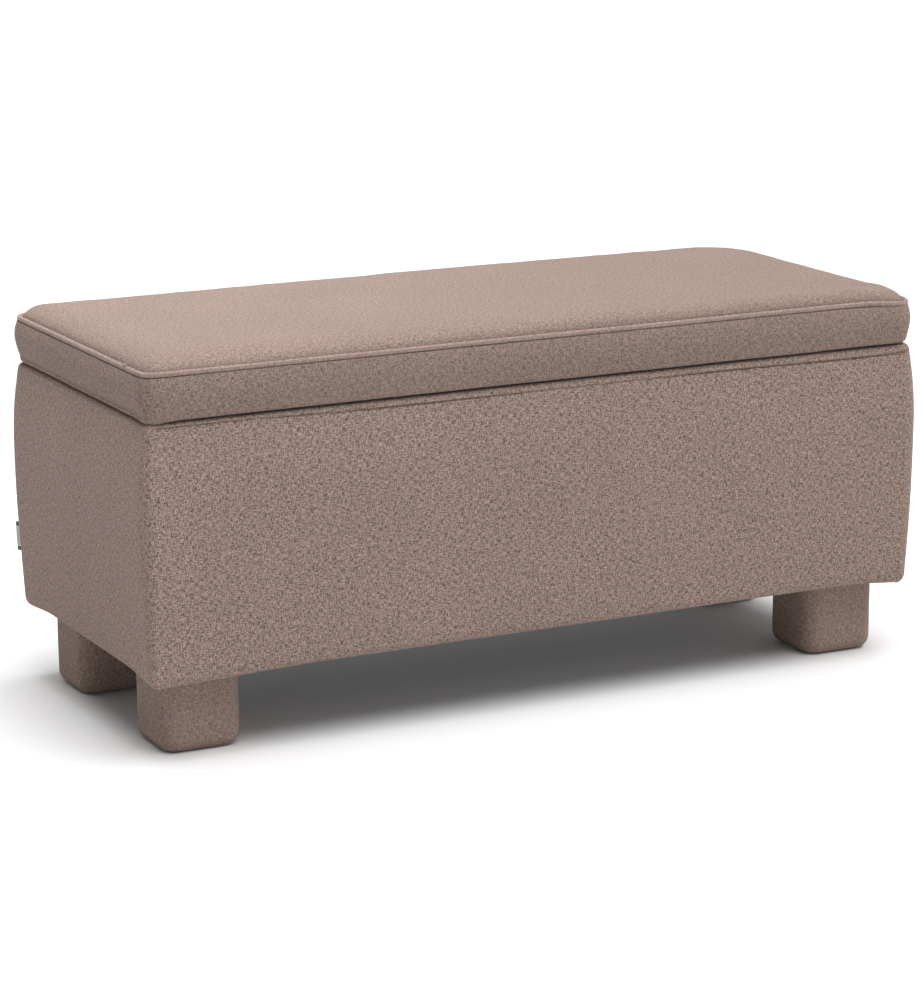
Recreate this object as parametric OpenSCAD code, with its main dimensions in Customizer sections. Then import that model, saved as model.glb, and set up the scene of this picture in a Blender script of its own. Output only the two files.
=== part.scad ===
// Upholstered storage bench with a hinged padded lid and four covered legs.
// Origin: on the floor under the centre. X is the width, the front faces -Y, Z is up. Millimetres.

/* [Overall] */
// Width over the fullest part of the padded ends
overall_w = 1040; // [840:10:1300]
// Depth over the fullest part of the padded front and back
overall_d = 448; // [370:2:560]

/* [Body] */
// Height of the body from its underside to its rim
body_h = 302; // [240:1:380]
// Height of the fullest line of the sides above the underside
bulge_h = 205; // [120:1:220]
// How far the rim sits in from the fullest part of the sides
rim_in = 8; // [5:0.5:10]
// How far the foot of the sides sits in from their fullest part
foot_in = 7; // [3:0.5:10]
// Corner radius of the body in plan
body_corner_r = 24; // [22:1:40]
// Radius of the padded roll along the rim
rim_roll_r = 8.5; // [6:0.5:12]
// Thickness of the side padding where it is fullest
side_pad_t = 19.5; // [17:0.5:26]
// Thickness of the four wooden panels
panel_t = 15; // [12:1:18]
// Thickness of the bottom board
bottom_t = 12; // [9:1:18]
// Radius on the upright corners of the wooden frame
frame_corner_r = 5; // [4:0.5:8]
// Leg length of the triangular corner blocks
corner_block = 30; // [20:1:40]
// Depth of the cover turned down inside the rim
rim_hem = 30; // [20:1:40]

/* [Fabric] */
// Thickness of the upholstery fabric
fabric_t = 1.5; // [1:0.1:2]
// Thickness of the lining cloth
lining_t = 1; // [0.6:0.1:1.2]
// Thickness of the dust cover under the body
dust_t = 0.8; // [0.5:0.1:1]

/* [Legs] */
// Height of the legs from the floor to the body's underside
leg_h = 95.5; // [60:0.5:150]
// Side of a finished leg
leg_size = 100; // [80:1:120]
// Gap from the widest part of the body to a leg along the width
leg_inset_x = 34; // [28:1:80]
// Gap from the widest part of the body to a leg along the depth
leg_inset_y = 42; // [28:1:80]
// Radius on a leg's upright edges
leg_corner_r = 18; // [14:1:24]
// Radius along a leg's lower edges
leg_foot_r = 16; // [8:1:18]
// Thickness of the wadding round a leg block
leg_wadding_t = 2.5; // [1:0.5:4]
// Diameter of a glide
glide_d = 34; // [20:1:40]
// Thickness of a glide
glide_t = 2; // [1.5:0.5:4]

/* [Lid] */
// Gap between the rim and the lid's underside
lid_gap = 3; // [2.8:0.1:4]
// Height of the boxing from the lid's underside to the middle of the piping
boxing_h = 53; // [42:1:70]
// Height of the crown above the middle of the piping
crown_h = 17; // [10:1:24]
// How far the lid's fullest line sits in from the body's
lid_in = 3; // [1:0.5:4]
// How far the top of the boxing sits in from the lid's fullest line
boxing_top_in = 3; // [2:0.5:5]
// Corner radius of the lid in plan
lid_corner_r = 32; // [30:1:40]
// Radius of the roll along the lid's lower edge
lid_roll_r = 8; // [6:0.5:9]
// Thickness of the lid board
lid_board_t = 15; // [12:1:18]
// Depth of the boxing turned in under the board
lid_hem = 30; // [24:1:34]
// Diameter of the covered piping
piping_d = 6.5; // [5:0.5:8]
// Diameter of the cord inside the piping
piping_cord_d = 4; // [3:0.5:4.5]
// Diameter of the rubber bumpers on the rim
bumper_d = 10; // [8:1:12]

/* [Hinges] */
// Length of a hinge
hinge_l = 70; // [50:5:100]
// Distance from the middle hinge to an outer one
hinge_spacing = 330; // [250:10:390]
// Thickness of a hinge leaf
leaf_t = 1.2; // [1:0.1:1.3]
// Width of a leaf from its free edge to the knuckle gap
leaf_w = 24; // [20:1:26]
// Distance of the hinge axis in from the back's fullest line
hinge_in = 7; // [6.5:0.5:7.5]
// Diameter of a hinge knuckle
knuckle_d = 6.4; // [6:0.1:7]
// Diameter of a hinge pin
hinge_pin_d = 3; // [2.5:0.1:3.4]

/* [Stays] */
// Distance from the hinge axis to a stay's lid pivot and to its stud
stay_reach = 145; // [110:1:160]
// Drop of the lid pivot below the hinge axis
stay_pivot_drop = 12; // [11:0.5:14]
// Distance from the lid pivot to the stud with the lid shut
stay_shut_l = 39; // [34:1:50]
// Width of a stay bar
stay_w = 16; // [14:1:20]
// Thickness of a stay bar
stay_t = 2; // [1.5:0.5:3]
// Diameter of a stay's pins
stay_pin_d = 6; // [5:0.5:7]
// Angle to which the lid opens
lid_angle = 95; // [70:1:100]

/* [Label] */
// Height of the side label
label_h = 36; // [20:1:50]
// Length of the side label out of its seam
label_out = 7; // [4:0.5:8]
// Height of the label's lower edge above the body's underside
label_z = 64; // [40:1:120]

/* [Hidden] */

// Smoothness of round parts, and steps in the curves of the padded profiles
$fn = 48;
roll_steps = 5;
side_steps = 8;
crown_steps = 8;

// Clearances and tool allowances
cut = 1;                 // how far a cutter runs past a face
running_clear = 0.05;    // radial gap of a pin in its bore
screw_clear = 0.1;       // radial gap of a screw in its hole
slot_clear = 0.3;        // gap round a stud in a stay's slot
knuckle_gap = 0.3;       // gap between neighbouring knuckles
piping_gap = 0.2;        // gap between the piping and the top cover
leg_cutout_clear = 2;    // gap round a leg in the dust cover

// Heights
body_z = leg_h;
rim_z = body_z + body_h;
bottom_z = body_z + fabric_t;
bottom_top_z = bottom_z + bottom_t;
panel_top_z = rim_z - fabric_t;
bulge_z = body_z + bulge_h;
hem_z = rim_z - rim_hem;
lid_z = rim_z + lid_gap;
board_z = lid_z + fabric_t;
foam_z = board_z + lid_board_t;
piping_z = lid_z + boxing_h;
boxing_top_z = piping_z - piping_d / 2;
crown_z = piping_z + crown_h;
foot_roll_r = side_pad_t + fabric_t - foot_in;
foot_roll_z = body_z + foot_roll_r;
rim_roll_z = rim_z - rim_roll_r;
lid_roll_z = lid_z + lid_roll_r;
lid_bulge_z = (lid_roll_z + piping_z) / 2;

// Corner radius of the body: at least as much as its padding and cover are thick
corner_margin = 1;
corner_r = max(body_corner_r, side_pad_t + fabric_t + corner_margin);

// Plan sizes of the frame and what fits inside it
frame_w = overall_w - 2 * (side_pad_t + fabric_t);
frame_d = overall_d - 2 * (side_pad_t + fabric_t);
inside_w = frame_w - 2 * panel_t;
inside_d = frame_d - 2 * panel_t;
lined_w = inside_w - 2 * lining_t;
lined_d = inside_d - 2 * lining_t;
mouth_w = inside_w - 2 * fabric_t;
mouth_d = inside_d - 2 * fabric_t;

// Plan sizes of the lid and its layers
piping_proud = 1;        // how far the piping stands out past the top of the boxing
lid_w = overall_w - 2 * lid_in;
lid_d = overall_d - 2 * lid_in;
lid_edge_in = rim_in - lid_in;
board_in = lid_edge_in + lid_roll_r;
piping_in = boxing_top_in - piping_proud + piping_d / 2;
crown_in = piping_in + piping_d / 2 + piping_gap;
foam_in = crown_in + fabric_t;
hem_opening_w = lid_w - 2 * (board_in + lid_hem);
hem_opening_d = lid_d - 2 * (board_in + lid_hem);

// Legs: a finished leg's centre, and where each of the four stands
leg_x = overall_w / 2 - leg_inset_x - leg_size / 2;
leg_y = overall_d / 2 - leg_inset_y - leg_size / 2;
leg_centres = [[-leg_x, -leg_y], [leg_x, -leg_y], [-leg_x, leg_y], [leg_x, leg_y]];
FRONT_LEFT = 0;
FRONT_RIGHT = 1;
BACK_LEFT = 2;
BACK_RIGHT = 3;
leg_bolt_d = 8;
leg_bolt_depth = 40;
t_nut_flange_d = 22;
t_nut_flange_t = 1.5;
t_nut_barrel_d = 10.5;

// Wood screws: shank, head and lengths
screw_d = 3.5;
screw_head_d = 6.4;
screw_head_t = 1.1;
frame_screw_d = 4;
frame_screw_head_d = 8;
frame_screw_head_t = 2;
frame_screw_l = 40;
leaf_screw_l = 14;
stay_screw_l = 12;

// Hinges
hinge_y = overall_d / 2 - hinge_in;
hinge_z = rim_z + lid_gap / 2;
knuckles = 5;
knuckle_l = hinge_l / knuckles;
knuckle_cut_y = hinge_y - knuckle_d / 2 - knuckle_gap;
leaf_y = knuckle_cut_y - leaf_w;
leaf_screw_y = (frame_d - panel_t) / 2;
leaf_screw_spacing = 0.36 * hinge_l;
leaf_screw_xs = [-leaf_screw_spacing, 0, leaf_screw_spacing];
hinge_xs = [-hinge_spacing, 0, hinge_spacing];

// Stays: the bar hangs from the lid pivot and slides over the stud on the end panel
stay_gap = 1;
stay_bracket_t = 2;
stay_head_d = 12;
stay_head_t = 1;
stay_boss_d = 20;
stay_bracket_x = mouth_w / 2 - stay_gap;
stay_bar_x = stay_bracket_x - stay_bracket_t - stay_gap;
stay_head_x = stay_bar_x - stay_t - stay_gap / 2;
shut_rise = asin(stay_pivot_drop / stay_reach);
shut_spread = 2 * asin(stay_shut_l / stay_reach / 2);
open_spread = shut_spread + lid_angle;
stay_open_l = 2 * stay_reach * sin(open_spread / 2);
stay_lean = 90 - (shut_rise + shut_spread / 2);
stay_pivot = [hinge_y - stay_reach * cos(shut_rise), hinge_z - stay_reach * sin(shut_rise)];
stay_stud = [hinge_y - stay_reach * cos(shut_rise + shut_spread),
             hinge_z - stay_reach * sin(shut_rise + shut_spread)];
bracket_flange_w = 28;
bracket_l = 60;
bracket_screw_in = 18;
bracket_screw_spacing = 40;

// Label
label_t = 1;
label_root = 6;

// Colours
fabric_colour = "#94796c";
piping_colour = "#8b7063";
lining_colour = "#3a3836";
padding_colour = "#e9e4d8";
foam_colour = "#ece2c4";
wood_colour = "#c9a87a";
steel_colour = "#b9bcc0";
rubber_colour = "#2b2b2b";
label_colour = "#b9b6b2";

// ---- Outlines and shared shapes ----

function arc(centre, r, from, to, steps) =
    [for (i = [0:steps]) centre + r * [cos(from + (to - from) * i / steps), sin(from + (to - from) * i / steps)]];

// How far the side of the body sits in from its fullest line at height z
function body_side_in(z) =
    z < bulge_z ? foot_in * pow((bulge_z - z) / (bulge_z - foot_roll_z), 2)
                : rim_in * pow((z - bulge_z) / (rim_roll_z - bulge_z), 2);

// Outer edge of the body's section, drawn out from a corner's centre, less an inset
function body_edge(inset) = concat(
    [[0, body_z + inset]],
    arc([corner_r - foot_in - foot_roll_r, foot_roll_z], foot_roll_r - inset, -90, 0, roll_steps),
    [for (i = [1:side_steps - 1])
        let (z = foot_roll_z + (rim_roll_z - foot_roll_z) * i / side_steps)
        [corner_r - inset - body_side_in(z), z]],
    arc([corner_r - rim_in - rim_roll_r, rim_roll_z], rim_roll_r - inset, 0, 90, roll_steps),
    [[0, rim_z - inset]]);

// How far the boxing sits in from the lid's fullest line at height z
function boxing_side_in(z) =
    z < lid_bulge_z ? lid_edge_in * pow((lid_bulge_z - z) / (lid_bulge_z - lid_roll_z), 2)
                    : boxing_top_in * pow((z - lid_bulge_z) / (piping_z - lid_bulge_z), 2);

// Outer edge of the boxing's section, less an inset, with its top run on upwards if over is given
function boxing_edge(inset, over = 0) = concat(
    [[0, lid_z + inset]],
    arc([lid_corner_r - board_in, lid_roll_z], lid_roll_r - inset, -90, 0, roll_steps),
    [for (i = [1:side_steps])
        let (z = lid_roll_z + (boxing_top_z - lid_roll_z) * i / side_steps)
        [lid_corner_r - inset - boxing_side_in(z), z]],
    over > 0 ? [[lid_corner_r - inset - boxing_side_in(boxing_top_z), boxing_top_z + over]] : [],
    [[0, boxing_top_z + over]]);

// Outer edge of the crowned top's section from a chosen foot, less an inset
function crown_edge(inset, foot) = concat(
    [[0, foot], [lid_corner_r - crown_in - inset, foot]],
    [for (i = [0:crown_steps])
        let (share = 1 - i / crown_steps)
        [(lid_corner_r - crown_in - inset) * share,
         piping_z + (crown_h - inset) * (1 - share * share)]]);

// Solid with a rounded-rectangle plan w by d, whose edge follows a section drawn from a corner's centre
module edged_block(w, d, r, edge) {
    x = w / 2 - r;
    y = d / 2 - r;
    // the whole depth, along the straight part of the width
    rotate([90, 0, 90])
        linear_extrude(2 * x, center = true)
            polygon(concat([for (p = edge) [y + p[0], p[1]]],
                           [for (i = [len(edge) - 1:-1:0]) [-y - edge[i][0], edge[i][1]]]));
    // the two ends
    for (side = [0, 1])
        mirror([side, 0, 0])
            rotate([90, 0, 0])
                linear_extrude(2 * y, center = true)
                    polygon([for (p = edge) [x + p[0], p[1]]]);
    // the four corners
    for (turn = [0:3])
        translate([turn == 0 || turn == 3 ? x : -x, turn < 2 ? y : -y, 0])
            rotate(90 * turn)
                rotate_extrude(angle = 90)
                    polygon(edge);
}

module block(w, d, z_low, z_high) {
    translate([-w / 2, -d / 2, z_low])
        cube([w, d, z_high - z_low]);
}

module rounded_block(w, d, r, z_low, z_high) {
    translate([0, 0, z_low])
        linear_extrude(z_high - z_low)
            rounded_plan(w, d, r);
}

module rounded_plan(w, d, r) {
    square([w - 2 * r, d], center = true);
    square([w, d - 2 * r], center = true);
    for (sx = [-1, 1], sy = [-1, 1])
        translate([sx * (w / 2 - r), sy * (d / 2 - r)])
            circle(r);
}

// Upright wedge that keeps one side of a ring, mitred at its corners: turn 0 is the front
module side_wedge(w, d, turn) {
    reach = 60;
    out = 20;
    along = turn == 0 || turn == 2 ? w / 2 : d / 2;
    across = turn == 0 || turn == 2 ? d / 2 : w / 2;
    rotate(90 * turn)
        translate([0, 0, -cut])
            linear_extrude(crown_z + 2 * cut)
                polygon([[-along - out, -across - out], [along + out, -across - out],
                         [along - reach, -across + reach], [-along + reach, -across + reach]]);
}
FRONT = 0;
RIGHT = 1;
BACK = 2;
LEFT = 3;

// Countersunk screw: head face at the origin, shank along -Z
module wood_screw(d, head_d, head_t, l, clear = 0) {
    translate([0, 0, -head_t - clear])
        cylinder(h = head_t + clear, r1 = d / 2 + clear, r2 = head_d / 2 + clear);
    translate([0, 0, -l - clear])
        cylinder(h = l - head_t + clear, r = d / 2 + clear);
}

module pin_along_x(d, x_low, x_high) {
    translate([x_low, 0, 0])
        rotate([0, 90, 0])
            cylinder(h = x_high - x_low, r = d / 2);
}

// ---- Body ----

module frame_outline(z_low, z_high) {
    rounded_block(frame_w, frame_d, frame_corner_r, z_low, z_high);
}

frame_screw_zs = [for (share = [0.12, 0.5, 0.8]) bottom_top_z + (panel_top_z - bottom_top_z) * share];
frame_screw_xs = [for (share = [-0.6, -0.3, 0, 0.3, 0.6]) share * frame_w / 2];

// Screws through the front and back into the end panels, and up through the bottom board
module frame_screw_set(clear = 0) {
    for (sx = [-1, 1], sy = [-1, 1], z = frame_screw_zs)
        translate([sx * (frame_w - panel_t) / 2, sy * frame_d / 2, z])
            rotate([-90 * sy, 0, 0])
                wood_screw(frame_screw_d, frame_screw_head_d, frame_screw_head_t, frame_screw_l, clear);
    for (x = frame_screw_xs, sy = [-1, 1])
        translate([x, sy * (frame_d - panel_t) / 2, bottom_z])
            rotate([180, 0, 0])
                wood_screw(frame_screw_d, frame_screw_head_d, frame_screw_head_t, frame_screw_l, clear);
    for (sx = [-1, 1])
        translate([sx * (frame_w - panel_t) / 2, 0, bottom_z])
            rotate([180, 0, 0])
                wood_screw(frame_screw_d, frame_screw_head_d, frame_screw_head_t, frame_screw_l, clear);
}

module frame_screws() {
    color(steel_colour)
        frame_screw_set();
}

module bottom_board() {
    color(wood_colour)
        difference() {
            frame_outline(bottom_z, bottom_top_z);
            frame_screw_set(screw_clear);
            for (c = leg_centres)
                translate([c[0], c[1], 0])
                    t_nut_seat();
        }
}

// Room for a T-nut: its barrel's hole and the recess for its flange
module t_nut_seat() {
    translate([0, 0, bottom_z - cut])
        cylinder(h = bottom_t + 2 * cut, r = t_nut_barrel_d / 2 + screw_clear);
    translate([0, 0, bottom_top_z - t_nut_flange_t])
        cylinder(h = t_nut_flange_t + cut, r = t_nut_flange_d / 2 + screw_clear);
}

module long_panel(side) {
    color(wood_colour)
        difference() {
            intersection() {
                frame_outline(bottom_top_z, panel_top_z);
                translate([0, side * (frame_d - panel_t) / 2, 0])
                    block(frame_w, panel_t, bottom_top_z, panel_top_z);
            }
            frame_screw_set(screw_clear);
            if (side > 0)
                lower_leaf_screw_set(screw_clear);
        }
}

module end_panel(side) {
    color(wood_colour)
        difference() {
            translate([side * (frame_w - panel_t) / 2, 0, 0])
                block(panel_t, inside_d, bottom_top_z, panel_top_z);
            frame_screw_set(screw_clear);
            stay_stud_screw(side, screw_clear);
        }
}

module corner_block_shape(sx, sy, grow, z_high) {
    translate([sx * inside_w / 2, sy * inside_d / 2, bottom_top_z])
        linear_extrude(z_high - bottom_top_z)
            polygon([[0, 0], [-sx * (corner_block + grow), 0], [0, -sy * (corner_block + grow)]]);
}

module corner_blocks() {
    color(wood_colour)
        for (sx = [-1, 1], sy = [-1, 1])
            corner_block_shape(sx, sy, 0, hem_z - lining_t);
}

module side_padding(turn) {
    color(padding_colour)
        intersection() {
            difference() {
                edged_block(overall_w, overall_d, corner_r, body_edge(fabric_t));
                frame_outline(bottom_z - cut, rim_z);
            }
            side_wedge(overall_w, overall_d, turn);
        }
}

// The whole cover: outer skin, strip over the rim, and the hems inside the rim and under the board
module cover_skin() {
    difference() {
        edged_block(overall_w, overall_d, corner_r, body_edge(0));
        difference() {
            edged_block(overall_w, overall_d, corner_r, body_edge(fabric_t));
            difference() {
                block(inside_w, inside_d, hem_z, rim_z);
                block(mouth_w, mouth_d, hem_z - cut, rim_z + cut);
            }
        }
        block(mouth_w, mouth_d, panel_top_z - cut, rim_z + cut);
        block(inside_w, inside_d, body_z - cut, bottom_z + cut);
    }
}

module side_cover(turn) {
    color(fabric_colour)
        difference() {
            intersection() {
                cover_skin();
                side_wedge(overall_w, overall_d, turn);
            }
            if (turn == BACK)
                lower_leaf_screw_set(screw_clear);
            if (turn == BACK || turn == LEFT)
                label_shape();
        }
}

module inner_lining() {
    color(lining_colour)
        difference() {
            block(inside_w, inside_d, bottom_top_z, hem_z);
            difference() {
                block(lined_w, lined_d, bottom_top_z + lining_t, hem_z + cut);
                for (sx = [-1, 1], sy = [-1, 1])
                    corner_block_shape(sx, sy, 2 * lining_t, hem_z);
            }
            for (sx = [-1, 1], sy = [-1, 1])
                corner_block_shape(sx, sy, 0, hem_z - lining_t);
            for (side = [-1, 1])
                stay_stud_screw(side, screw_clear);
        }
}

module dust_cover() {
    opening = leg_size + 2 * leg_cutout_clear;
    margin = 4;
    color(lining_colour)
        difference() {
            block(inside_w + margin, inside_d + margin, body_z - dust_t, body_z);
            for (c = leg_centres)
                translate([c[0], c[1], 0])
                    rounded_block(opening, opening, leg_corner_r, body_z - dust_t - cut, body_z + cut);
        }
}

// A flat tab sewn into the upright seam at the back left corner
module label_shape() {
    seam_in = corner_r * (1 - cos(45)) + body_side_in(body_z + label_z + label_h / 2) * cos(45);
    seam_x = -overall_w / 2 + seam_in;
    seam_y = overall_d / 2 - seam_in;
    translate([seam_x, seam_y, body_z + label_z])
        rotate(135)
            translate([-label_root, -label_t / 2, 0])
                cube([label_root + label_out, label_t, label_h]);
}

module side_label() {
    color(label_colour)
        difference() {
            label_shape();
            edged_block(overall_w, overall_d, corner_r, body_edge(fabric_t));
        }
}

bumper_clear = 0.4;
bumper_t = lid_gap - bumper_clear;
bumper_xs = [for (share = [-0.9, -0.3, 0.3, 0.9]) share * frame_w / 2];

module rim_bumpers() {
    color(rubber_colour)
        for (x = bumper_xs)
            translate([x, -(frame_d - panel_t) / 2, rim_z])
                cylinder(h = bumper_t, r = bumper_d / 2);
}

// ---- Legs ----

function leg_edge(inset) = concat(
    [[0, glide_t + inset]],
    arc([leg_corner_r - leg_foot_r, glide_t + leg_foot_r], leg_foot_r - inset, -90, 0, roll_steps),
    [[leg_corner_r - inset, body_z], [0, body_z]]);

module leg_envelope(inset) {
    edged_block(leg_size, leg_size, leg_corner_r, leg_edge(inset));
}

module at_leg(corner) {
    translate([leg_centres[corner][0], leg_centres[corner][1], 0])
        children();
}

module leg_block(corner) {
    color(wood_colour)
        at_leg(corner)
            difference() {
                leg_envelope(fabric_t + leg_wadding_t);
                translate([0, 0, body_z - leg_bolt_depth - cut])
                    cylinder(h = leg_bolt_depth + 2 * cut, r = leg_bolt_d / 2 + running_clear);
            }
}

module leg_wadding() {
    color(padding_colour)
        for (corner = [FRONT_LEFT:BACK_RIGHT])
            at_leg(corner)
                difference() {
                    leg_envelope(fabric_t);
                    leg_envelope(fabric_t + leg_wadding_t);
                }
}

module leg_cover(corner) {
    color(fabric_colour)
        at_leg(corner)
            difference() {
                leg_envelope(0);
                leg_envelope(fabric_t);
            }
}

module leg_bolts() {
    color(steel_colour)
        for (corner = [FRONT_LEFT:BACK_RIGHT])
            at_leg(corner)
                translate([0, 0, body_z - leg_bolt_depth])
                    cylinder(h = leg_bolt_depth + bottom_t, r = leg_bolt_d / 2);
}

module t_nuts() {
    color(steel_colour)
        for (corner = [FRONT_LEFT:BACK_RIGHT])
            at_leg(corner)
                difference() {
                    union() {
                        translate([0, 0, bottom_z])
                            cylinder(h = bottom_t, r = t_nut_barrel_d / 2);
                        translate([0, 0, bottom_top_z - t_nut_flange_t])
                            cylinder(h = t_nut_flange_t, r = t_nut_flange_d / 2);
                    }
                    translate([0, 0, bottom_z - cut])
                        cylinder(h = bottom_t + 2 * cut, r = leg_bolt_d / 2 + running_clear);
                }
}

module leg_glides() {
    color(rubber_colour)
        for (corner = [FRONT_LEFT:BACK_RIGHT])
            at_leg(corner)
                cylinder(h = glide_t, r = glide_d / 2);
}

// ---- Lid ----

module lid_board() {
    color(wood_colour)
        difference() {
            rounded_block(lid_w - 2 * board_in, lid_d - 2 * board_in, lid_corner_r - board_in, board_z, foam_z);
            upper_leaf_screw_set(screw_clear);
            stay_bracket_screw_set(screw_clear);
        }
}

module foam_shape() {
    edged_block(lid_w, lid_d, lid_corner_r, crown_edge(fabric_t, foam_z));
}

module lid_foam() {
    color(foam_colour)
        foam_shape();
}

module lid_wadding() {
    color(padding_colour)
        difference() {
            edged_block(lid_w, lid_d, lid_corner_r, boxing_edge(fabric_t));
            rounded_block(lid_w - 2 * board_in, lid_d - 2 * board_in, lid_corner_r - board_in,
                          lid_z, foam_z + cut);
            rounded_block(lid_w - 2 * foam_in, lid_d - 2 * foam_in, lid_corner_r - foam_in, foam_z, crown_z);
        }
}

module lid_top_cover() {
    color(fabric_colour)
        difference() {
            edged_block(lid_w, lid_d, lid_corner_r, crown_edge(0, boxing_top_z));
            edged_block(lid_w, lid_d, lid_corner_r, crown_edge(fabric_t, boxing_top_z - cut));
        }
}

module side_boxing(turn) {
    color(fabric_colour)
        difference() {
            intersection() {
                difference() {
                    edged_block(lid_w, lid_d, lid_corner_r, boxing_edge(0));
                    edged_block(lid_w, lid_d, lid_corner_r, boxing_edge(fabric_t, cut));
                    block(hem_opening_w, hem_opening_d, lid_z - cut, board_z + cut);
                }
                side_wedge(lid_w, lid_d, turn);
            }
            if (turn == BACK)
                upper_leaf_screw_set(screw_clear);
        }
}

// A round bead along the seam between the boxing and the top
module piping_ring(d) {
    r = lid_corner_r - piping_in;
    x = lid_w / 2 - lid_corner_r;
    y = lid_d / 2 - lid_corner_r;
    translate([0, 0, piping_z]) {
        for (side = [-1, 1]) {
            translate([0, side * (y + r), 0])
                rotate([0, 90, 0])
                    cylinder(h = 2 * x, r = d / 2, center = true);
            translate([side * (x + r), 0, 0])
                rotate([90, 0, 0])
                    cylinder(h = 2 * y, r = d / 2, center = true);
        }
        for (turn = [0:3])
            translate([turn == 0 || turn == 3 ? x : -x, turn < 2 ? y : -y, 0])
                rotate(90 * turn)
                    rotate_extrude(angle = 90)
                        translate([r, 0])
                            circle(d / 2);
    }
}

module piping_cover() {
    color(piping_colour)
        difference() {
            piping_ring(piping_d);
            piping_ring(piping_cord_d);
        }
}

module piping_cord() {
    color(padding_colour)
        piping_ring(piping_cord_d);
}

module lid_lining() {
    color(lining_colour)
        difference() {
            block(hem_opening_w, hem_opening_d, board_z - lining_t, board_z);
            stay_bracket_screw_set(screw_clear);
        }
}

// ---- Hinges ----

module knuckle_row(first) {
    for (i = [first:2:knuckles - 1]) {
        x_low = -hinge_l / 2 + i * knuckle_l + knuckle_gap / 2;
        x_high = x_low + knuckle_l - knuckle_gap;
        pin_along_x(knuckle_d, x_low, x_high);
        // the tab that joins the knuckle to its leaf
        translate([x_low, knuckle_cut_y - hinge_y - cut, -lid_gap / 2])
            cube([x_high - x_low, hinge_y - knuckle_cut_y + cut, leaf_t]);
    }
}

// One leaf, with its plate below the axis. The upper leaf is the same shape turned over
module leaf_shape(first) {
    difference() {
        union() {
            translate([-hinge_l / 2, leaf_y - hinge_y, -lid_gap / 2])
                cube([hinge_l, leaf_w, leaf_t]);
            knuckle_row(first);
        }
        pin_along_x(hinge_pin_d + 2 * running_clear, -hinge_l, hinge_l);
        for (x = leaf_screw_xs)
            translate([x, leaf_screw_y - hinge_y, leaf_t - lid_gap / 2])
                wood_screw(screw_d, screw_head_d, screw_head_t, leaf_screw_l, screw_clear);
    }
}

module lower_leaf(x) {
    color(steel_colour)
        translate([x, hinge_y, hinge_z])
            leaf_shape(0);
}

module upper_leaf(x) {
    color(steel_colour)
        translate([x, hinge_y, hinge_z])
            mirror([0, 0, 1])
                leaf_shape(1);
}

module hinge_pins() {
    color(steel_colour)
        for (x = hinge_xs)
            translate([x, hinge_y, hinge_z])
                pin_along_x(hinge_pin_d, -hinge_l / 2, hinge_l / 2);
}

module lower_leaf_screw_set(clear = 0) {
    for (x = hinge_xs, dx = leaf_screw_xs)
        translate([x + dx, leaf_screw_y, rim_z + leaf_t])
            wood_screw(screw_d, screw_head_d, screw_head_t, leaf_screw_l, clear);
}

module upper_leaf_screw_set(clear = 0) {
    translate([0, 0, 2 * hinge_z])
        mirror([0, 0, 1])
            lower_leaf_screw_set(clear);
}

module lower_leaf_screws() {
    color(steel_colour)
        lower_leaf_screw_set();
}

module upper_leaf_screws() {
    color(steel_colour)
        upper_leaf_screw_set();
}

// ---- Lid stays ----

// Flat bar with a round end at its pivot and a long slot for the stud, both along -Z from the pivot
module stay_outline() {
    end_l = stay_open_l + stay_pin_d / 2;
    difference() {
        union() {
            circle(stay_w / 2);
            translate([-stay_w / 2, -end_l])
                square([stay_w, end_l]);
            translate([0, -end_l])
                circle(stay_w / 2);
        }
        circle(stay_pin_d / 2 + running_clear);
        for (y = [-stay_shut_l, -stay_open_l])
            translate([0, y])
                circle(stay_pin_d / 2 + slot_clear);
        translate([-stay_pin_d / 2 - slot_clear, -stay_open_l])
            square([stay_pin_d + 2 * slot_clear, stay_open_l - stay_shut_l]);
    }
}

module stay_bar(side) {
    color(steel_colour)
        translate([side > 0 ? stay_bar_x - stay_t : -stay_bar_x, stay_pivot[0], stay_pivot[1]])
            rotate([90 - stay_lean, 0, 0])
                rotate([90, 0, 90])
                    linear_extrude(stay_t)
                        stay_outline();
}

// Angle bracket under the lid, with the pivot pin that carries the bar
module stay_bracket(side) {
    x_in = stay_bracket_x - bracket_flange_w;
    ear_r = stay_w / 2 + cut;
    color(steel_colour)
        mirror([side > 0 ? 0 : 1, 0, 0])
            difference() {
                union() {
                    translate([x_in, stay_pivot[0] - bracket_l / 2, lid_z - stay_bracket_t])
                        cube([bracket_flange_w, bracket_l, stay_bracket_t]);
                    translate([stay_bracket_x - stay_bracket_t, stay_pivot[0] - ear_r, stay_pivot[1]])
                        cube([stay_bracket_t, 2 * ear_r, lid_z - stay_pivot[1]]);
                    translate([0, stay_pivot[0], stay_pivot[1]]) {
                        pin_along_x(2 * ear_r, stay_bracket_x - stay_bracket_t, stay_bracket_x);
                        pin_along_x(stay_pin_d, stay_head_x - stay_head_t, stay_bracket_x);
                        pin_along_x(stay_head_d, stay_head_x - stay_head_t, stay_head_x);
                    }
                }
                stay_bracket_screw_set(screw_clear);
            }
}

module stay_bracket_screw_set(clear = 0) {
    for (side = [-1, 1], dy = [-0.5, 0.5])
        translate([side * (stay_bracket_x - bracket_screw_in), stay_pivot[0] + dy * bracket_screw_spacing,
                   lid_z - stay_bracket_t])
            rotate([180, 0, 0])
                wood_screw(screw_d, screw_head_d, screw_head_t, stay_screw_l, clear);
}

module stay_bracket_screws() {
    color(steel_colour)
        stay_bracket_screw_set();
}

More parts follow.
